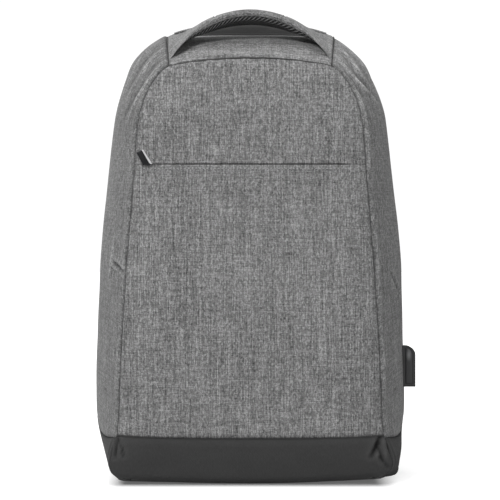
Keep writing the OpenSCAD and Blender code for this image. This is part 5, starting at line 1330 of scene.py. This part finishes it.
# ---------------------------------------------------------------- inside the bag
def inside():
    # padded laptop sleeve on the inner face of the rear panel
    xx = -110 + 220 * marks(220, 6.0); zz = 17.5 + 254 * marks(254, 6.0)
    Z, X = np.meshgrid(zz, xx, indexing="ij")
    P = np.stack([X, 29.0 + 0.9 * (1 - (X / 110) ** 2) * 0 - 0.8 * swell(X, Z, 120, 2) * np.clip((110 - np.abs(X)) / 30, 0, 1), Z], -1)
    o = shell("sleeve_front", P, np.stack([X, Z], -1), 4.0, ((1.8, 1.0),) * 4, [M_LINE])
    piece(o, "rear_panel", "lining_fabric", "laptop_sleeve")
    p = np.stack([np.linspace(-109.5, 109.5, 80), np.full(80, 31.0), np.full(80, 272.0)], -1)
    o = cord("sleeve_top_binding", p, 2.4, M_BIND)
    piece(o, "rear_panel", "lining_fabric")
    for sg, nm in ((1, "right"), (-1, "left")):
        yy = np.linspace(32.5, 56.0, 14); z2 = np.linspace(18.5, 219, 50)
        Z, Y = np.meshgrid(z2, yy, indexing="ij")
        P = np.stack([sg * (109.6 - 1.6 * np.sin(PI * (Y - 32.5) / 23.5) ** 2 * np.sin(Z / 11.0) ** 2), Y, Z], -1)
        o = shell("sleeve_side_" + nm, P, np.stack([Y, Z], -1), 1.1, (None,) * 4, [M_LINE], flip=sg < 0)
        piece(o, "rear_panel", "lining_fabric")
    Y, X = np.meshgrid(np.linspace(32.5, 56.0, 10), np.linspace(-109, 109, 40), indexing="ij")
    P = np.stack([X, Y, 17.2 + 0.3 * np.sin(X / 16.0)], -1)
    o = shell("sleeve_floor", P, np.stack([X, Y], -1), 1.4, (None,) * 4, [M_LINE], flip=True)
    piece(o, "rear_panel", "lining_fabric")
    # tie that closes the sleeve
    line = [(55.2, 330.0), (53.4, 330.6), (46, 330.4), (36, 330.0), (29.5, 329.4), (27.2, 327.6), (26.5, 324), (26.5, 310), (26.4, 290), (26.6, 272), (26.6, 263)]
    path = resample(np.array([[0, a, b] for a, b in line]), 2.0)
    strip("laptop_tie_webbing", path, 21.5, 1.5, "laptop_tie", "black_webbing", ("laptop_strap",))
    st = stitches("laptop_tie_stitching", np.array([[x, 25.7, 268.0] for x in np.linspace(-19, 19, 24)]), M_THREADD, normal=(0, -1, 0), lift=0.1)
    piece(st, "laptop_tie", "black_webbing")
    # mesh pocket round the power bank
    Y, Z = np.meshgrid(np.linspace(-15, 47, 30), np.linspace(8.8, 80.0, 36), indexing="xy")
    P = np.stack([117.9 - 0.5 * np.sin(PI * (Y + 15) / 62) , Y, Z], -1)
    o = shell("bank_pocket_mesh", P, np.stack([Y, Z], -1), 0.9, (None,) * 4, [M_AIRH], flip=True)
    piece(o, "shell", "air_mesh", "power_bank_pocket")
    o = cord("bank_pocket_hem", np.stack([np.full(40, 117.7), np.linspace(-15, 47, 40), np.full(40, 80.2)], -1), 1.2, M_BIND, up=(0, 0, 1))
    piece(o, "shell", "lining_fabric")
    # charging cable
    px = 151.469; plx, ply = 124.5, 16.0
    cab = np.array([[px - 11.4, 18, 110], [px - 14.5, 18, 110.4], [px - 16.6, 17, 113.5], [px - 16.6, 16, 123], [px - 17.2, 15, 139], [px - 20, 15, 147], [plx + 3.5, ply, 149.5], [plx + 0.6, ply, 145], [plx, ply, 138.5]])
    E = np.vstack([2 * cab[0] - cab[1], cab, 2 * cab[-1] - cab[-2]])
    pts = []
    for i in range(len(cab) - 1):
        a, b, c, d = E[i:i + 4]
        for t in np.linspace(0, 1, 10, endpoint=False): pts.append(0.5 * (2 * b + (c - a) * t + (2 * a - 5 * b + 4 * c - d) * t * t + (3 * b - a - 3 * c + d) * t ** 3))
    o = cord("usb_cable_run", np.array(pts), 1.6, M_PLA, up=(0, 1, 0), n=14)
    piece(o, "shell", "black_plastic", "usb_cable")
inside()

# ---------------------------------------------------------------- CAD pieces that stay: edges softened, finish given
def dress(names, mat, bev=0.0003, seg=2):
    for nm in names:
        o = frame["nodes"][nm]
        o.data.materials.clear(); o.data.materials.append(mat)
        if bev:
            m = o.modifiers.new("soft_edges", "BEVEL"); m.width = bev; m.segments = seg; m.limit_method = "ANGLE"; m.angle_limit = math.radians(40); m.harden_normals = False
        for p in o.data.polygons: p.use_smooth = False
        w = o.modifiers.new("edge_normals", "WEIGHTED_NORMAL") if bev else None
M_PORT = hard("port_plastic", (0.036, 0.036, 0.037), 0.30, grain=1400, gh=0.00002, coat=0.35)
dress(["port_housing"], M_PORT, 0.0011, 4)
dress(["port_flange"], M_PLA, 0.0004)
dress(["usb_shell", "usb_plug_shell"], M_BRIGHT, 0.0001)
dress(["usb_tongue"], M_WHITE, 0.0001)
dress(["usb_contacts"], M_GOLD, 0)
dress(["usb_plug_boot"], M_PLA, 0.0008, 3)
dress(["power_bank_case"], M_BANK, 0.0012, 3)
dress(["power_bank_button"], M_PLA, 0.0003)
dress(["pocket_slider", "main_slider_upper", "main_slider_lower"], M_DARKM, 0.00025)
dress(["main_pull_upper", "main_pull_lower"], M_DARKM, 0.00035)
dress(["ladder_lock_left", "ladder_lock_right"], M_PLA, 0.0009, 3)
dress(["base_board"], M_BOARD, 0.0005)

# slightly raised front face of the port housing
a_ = np.radians(np.linspace(90, 0, 9))
face = np.vstack([[[152.0, 88.0], [152.0, 123.2]], np.stack([151.6 + 7.4 * np.cos(a_), 115.8 + 7.4 * np.sin(a_)], -1), [[159.0, 88.0]]])
def port_face_painted_highlight(nt, bs):
    """moulded face with a painted highlight: paler where its upper corner turns up, standing in for the shine there,
    dark towards the opening
    """
    g = put(nt, "ShaderNodeNewGeometry")
    sub = put(nt, "ShaderNodeVectorMath"); sub.operation = "SUBTRACT"; sub.inputs[1].default_value = (0.1553, 0.0, 0.1165)
    nt.links.new(g.outputs["Position"], sub.inputs[0])
    mul = put(nt, "ShaderNodeVectorMath"); mul.operation = "MULTIPLY"; mul.inputs[1].default_value = (1 / 0.0026, 0.0, 1 / 0.0062)
    nt.links.new(sub.outputs[0], mul.inputs[0])
    ln = put(nt, "ShaderNodeVectorMath"); ln.operation = "LENGTH"
    nt.links.new(mul.outputs[0], ln.inputs[0])
    mr = put(nt, "ShaderNodeMapRange"); mr.interpolation_type = "SMOOTHSTEP"
    mr.inputs[1].default_value = 0.0; mr.inputs[2].default_value = 1.25; mr.inputs[3].default_value = 1.0; mr.inputs[4].default_value = 0.0
    nt.links.new(ln.outputs["Value"], mr.inputs[0])
    # painted highlight: the pale patch at the upper corner
    c = rampn(nt, mr.outputs[0], [(0.0, (0.050, 0.050, 0.052)), (1.0, (0.25, 0.25, 0.255))])
    nt.links.new(c, bs.inputs["Base Color"])
    bs.inputs["Roughness"].default_value = 0.36; bs.inputs["Coat Weight"].default_value = 0.3
M_PFACE_HIGHLIGHT = node_mat("port_face_highlight_plastic", port_face_painted_highlight)
o = pillow("port_face", round_outline(face, 0.8, 3), 8.6, 7.9, 3.0, [M_PFACE_HIGHLIGHT], step=1.0, rimy=0.3)
piece(o, "shell", "black_plastic")

# the right foot stands fuller than the base solid: the sewn pieces round it belly outwards, never inwards
def right_foot():
    zt = [0, 2, 4, 7, 10, 16, 20, 24, 30, 34, 40, 46, 50]
    dt = [15.6, 14.4, 12.7, 9.9, 7.8, 6.2, 5.6, 5.1, 4.1, 3.0, 1.5, 0.3, 0.0]
    for nm in ("base_front_band", "base_right", "base_underside", "base_stitching", "seam_base_front", "seam_base_right", "seam_front_loop", "side_right", "front_lower"):
        me = bpy.data.objects[nm].data
        co = np.empty(len(me.vertices) * 3); me.vertices.foreach_get("co", co); co = co.reshape(-1, 3) * 1000
        sx = ramp(78, 118, co[:, 0])
        sy = (0.25 + 0.75 * ramp(-62, -14, co[:, 1])) * (1 - ramp(-6, 50, co[:, 1]))
        co[:, 0] += np.interp(co[:, 2], zt, dt) * sx * sy
        me.vertices.foreach_set("co", (co * 0.001).ravel()); me.update()
right_foot()

# ---------------------------------------------------------------- stage
def look(o, target):
    o.rotation_euler = (Vector(target) - o.location).to_track_quat("-Z", "Y").to_euler()
def area(name, loc, target, size, energy, col=(1, 1, 1), sy=None):
    l = bpy.data.lights.new(name, "AREA"); l.energy = energy; l.color = col
    l.shape = "RECTANGLE"; l.size = size; l.size_y = sy or size
    o = bpy.data.objects.new(name, l); scene.collection.objects.link(o)
    o.location = loc; look(o, target)
    return o
KEY = area("key_light", (-1.15, -2.1, 1.75), (0, 0, 0.25), 0.5, 36)
TOP = area("top_light", (-0.1, -0.35, 2.3), (0, 0, 0.2), 1.2, 21)
FILL = area("fill_light", (1.5, -2.2, 0.7), (0, 0, 0.22), 1.1, 7)
BACK = area("back_light", (-0.9, 2.4, 1.2), (0, 0, 0.2), 1.3, 22)

w = bpy.data.worlds.new("studio"); scene.world = w; w.use_nodes = True
nt = w.node_tree; nt.nodes.clear()
out = nt.nodes.new("ShaderNodeOutputWorld"); mixn = nt.nodes.new("ShaderNodeMixShader"); lpn = nt.nodes.new("ShaderNodeLightPath")
bg1 = nt.nodes.new("ShaderNodeBackground"); bg2 = nt.nodes.new("ShaderNodeBackground")
bg1.inputs[0].default_value = (1, 1, 1, 1); bg1.inputs[1].default_value = 0.24
bg2.inputs[0].default_value = (1, 1, 1, 1); bg2.inputs[1].default_value = 1.05
nt.links.new(lpn.outputs["Is Camera Ray"], mixn.inputs[0]); nt.links.new(bg1.outputs[0], mixn.inputs[1]); nt.links.new(bg2.outputs[0], mixn.inputs[2]); nt.links.new(mixn.outputs[0], out.inputs[0])

def floor_build(nt, bs):
    pos = put(nt, "ShaderNodeNewGeometry").outputs["Position"]
    n = noise(nt, pos, 3.0, 2.0, 0.5)
    c = rampn(nt, n, [(0.3, 0.52), (0.7, 0.54)])
    nt.links.new(c, bs.inputs["Base Color"])
    bs.inputs["Roughness"].default_value = 0.9
    bs.inputs["Specular IOR Level"].default_value = 0.1
    bs.inputs["Emission Color"].default_value = (1, 1, 1, 1)
    lp_ = put(nt, "ShaderNodeLightPath")
    sep = put(nt, "ShaderNodeSeparateXYZ"); setin(nt, sep, 0, pos)
    r = math_n(nt, "SQRT", math_n(nt, "ADD", math_n(nt, "POWER", sep.outputs[0], 2.0), math_n(nt, "POWER", sep.outputs[1], 2.0)))
    far = put(nt, "ShaderNodeMapRange", interpolation_type="SMOOTHSTEP"); setin(nt, far, 0, r)
    far.inputs[1].default_value = 0.35; far.inputs[2].default_value = 1.1; far.inputs[3].default_value = 0.76; far.inputs[4].default_value = 1.1
    # painted contact shadow: the floor's glow fades where the base rests on it
    dx = math_n(nt, "MAXIMUM", math_n(nt, "SUBTRACT", math_n(nt, "ABSOLUTE", sep.outputs[0]), 0.118), 0.0)
    dy = math_n(nt, "MAXIMUM", math_n(nt, "SUBTRACT", math_n(nt, "ABSOLUTE", math_n(nt, "ADD", sep.outputs[1], 0.005)), 0.060), 0.0)
    dd = math_n(nt, "SQRT", math_n(nt, "ADD", math_n(nt, "POWER", dx, 2.0), math_n(nt, "POWER", dy, 2.0)))
    near = put(nt, "ShaderNodeMapRange", interpolation_type="SMOOTHSTEP"); setin(nt, near, 0, dd)
    near.inputs[1].default_value = -0.008; near.inputs[2].default_value = 0.024; near.inputs[3].default_value = 0.0; near.inputs[4].default_value = 1.0
    nt.links.new(math_n(nt, "MULTIPLY", near.outputs[0], math_n(nt, "MULTIPLY", lp_.outputs["Is Camera Ray"], far.outputs[0])), bs.inputs["Emission Strength"])
M_FLOOR = node_mat("floor_white", floor_build)
me = bpy.data.meshes.new("floor")
me.from_pydata([(-14, -14, -0.0006), (14, -14, -0.0006), (14, 14, -0.0006), (-14, 14, -0.0006)], [], [(0, 1, 2, 3)])
me.materials.append(M_FLOOR)
fl = bpy.data.objects.new("floor", me); scene.collection.objects.link(fl); fl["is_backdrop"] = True

cam = bpy.data.cameras.new("camera"); cam.lens = 118.2; cam.sensor_width = 36.0
cam.shift_x, cam.shift_y = -0.0006, -0.0019
cam.clip_start, cam.clip_end = 0.05, 60
co = bpy.data.objects.new("camera", cam); scene.collection.objects.link(co)
co.location = (0, -1.6, 0.22); co.rotation_euler = (PI / 2, 0, 0)
scene.camera = co
scene.view_settings.view_transform = "Standard"
scene.view_settings.look = "None"

VIS_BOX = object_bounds()
def plain(b): return [[float(v) for v in q] for q in b] if hasattr(b[0], "__len__") else [float(v) for v in b]
{"cad_box": plain(CAD_BOX), "visual_box": plain(VIS_BOX)}
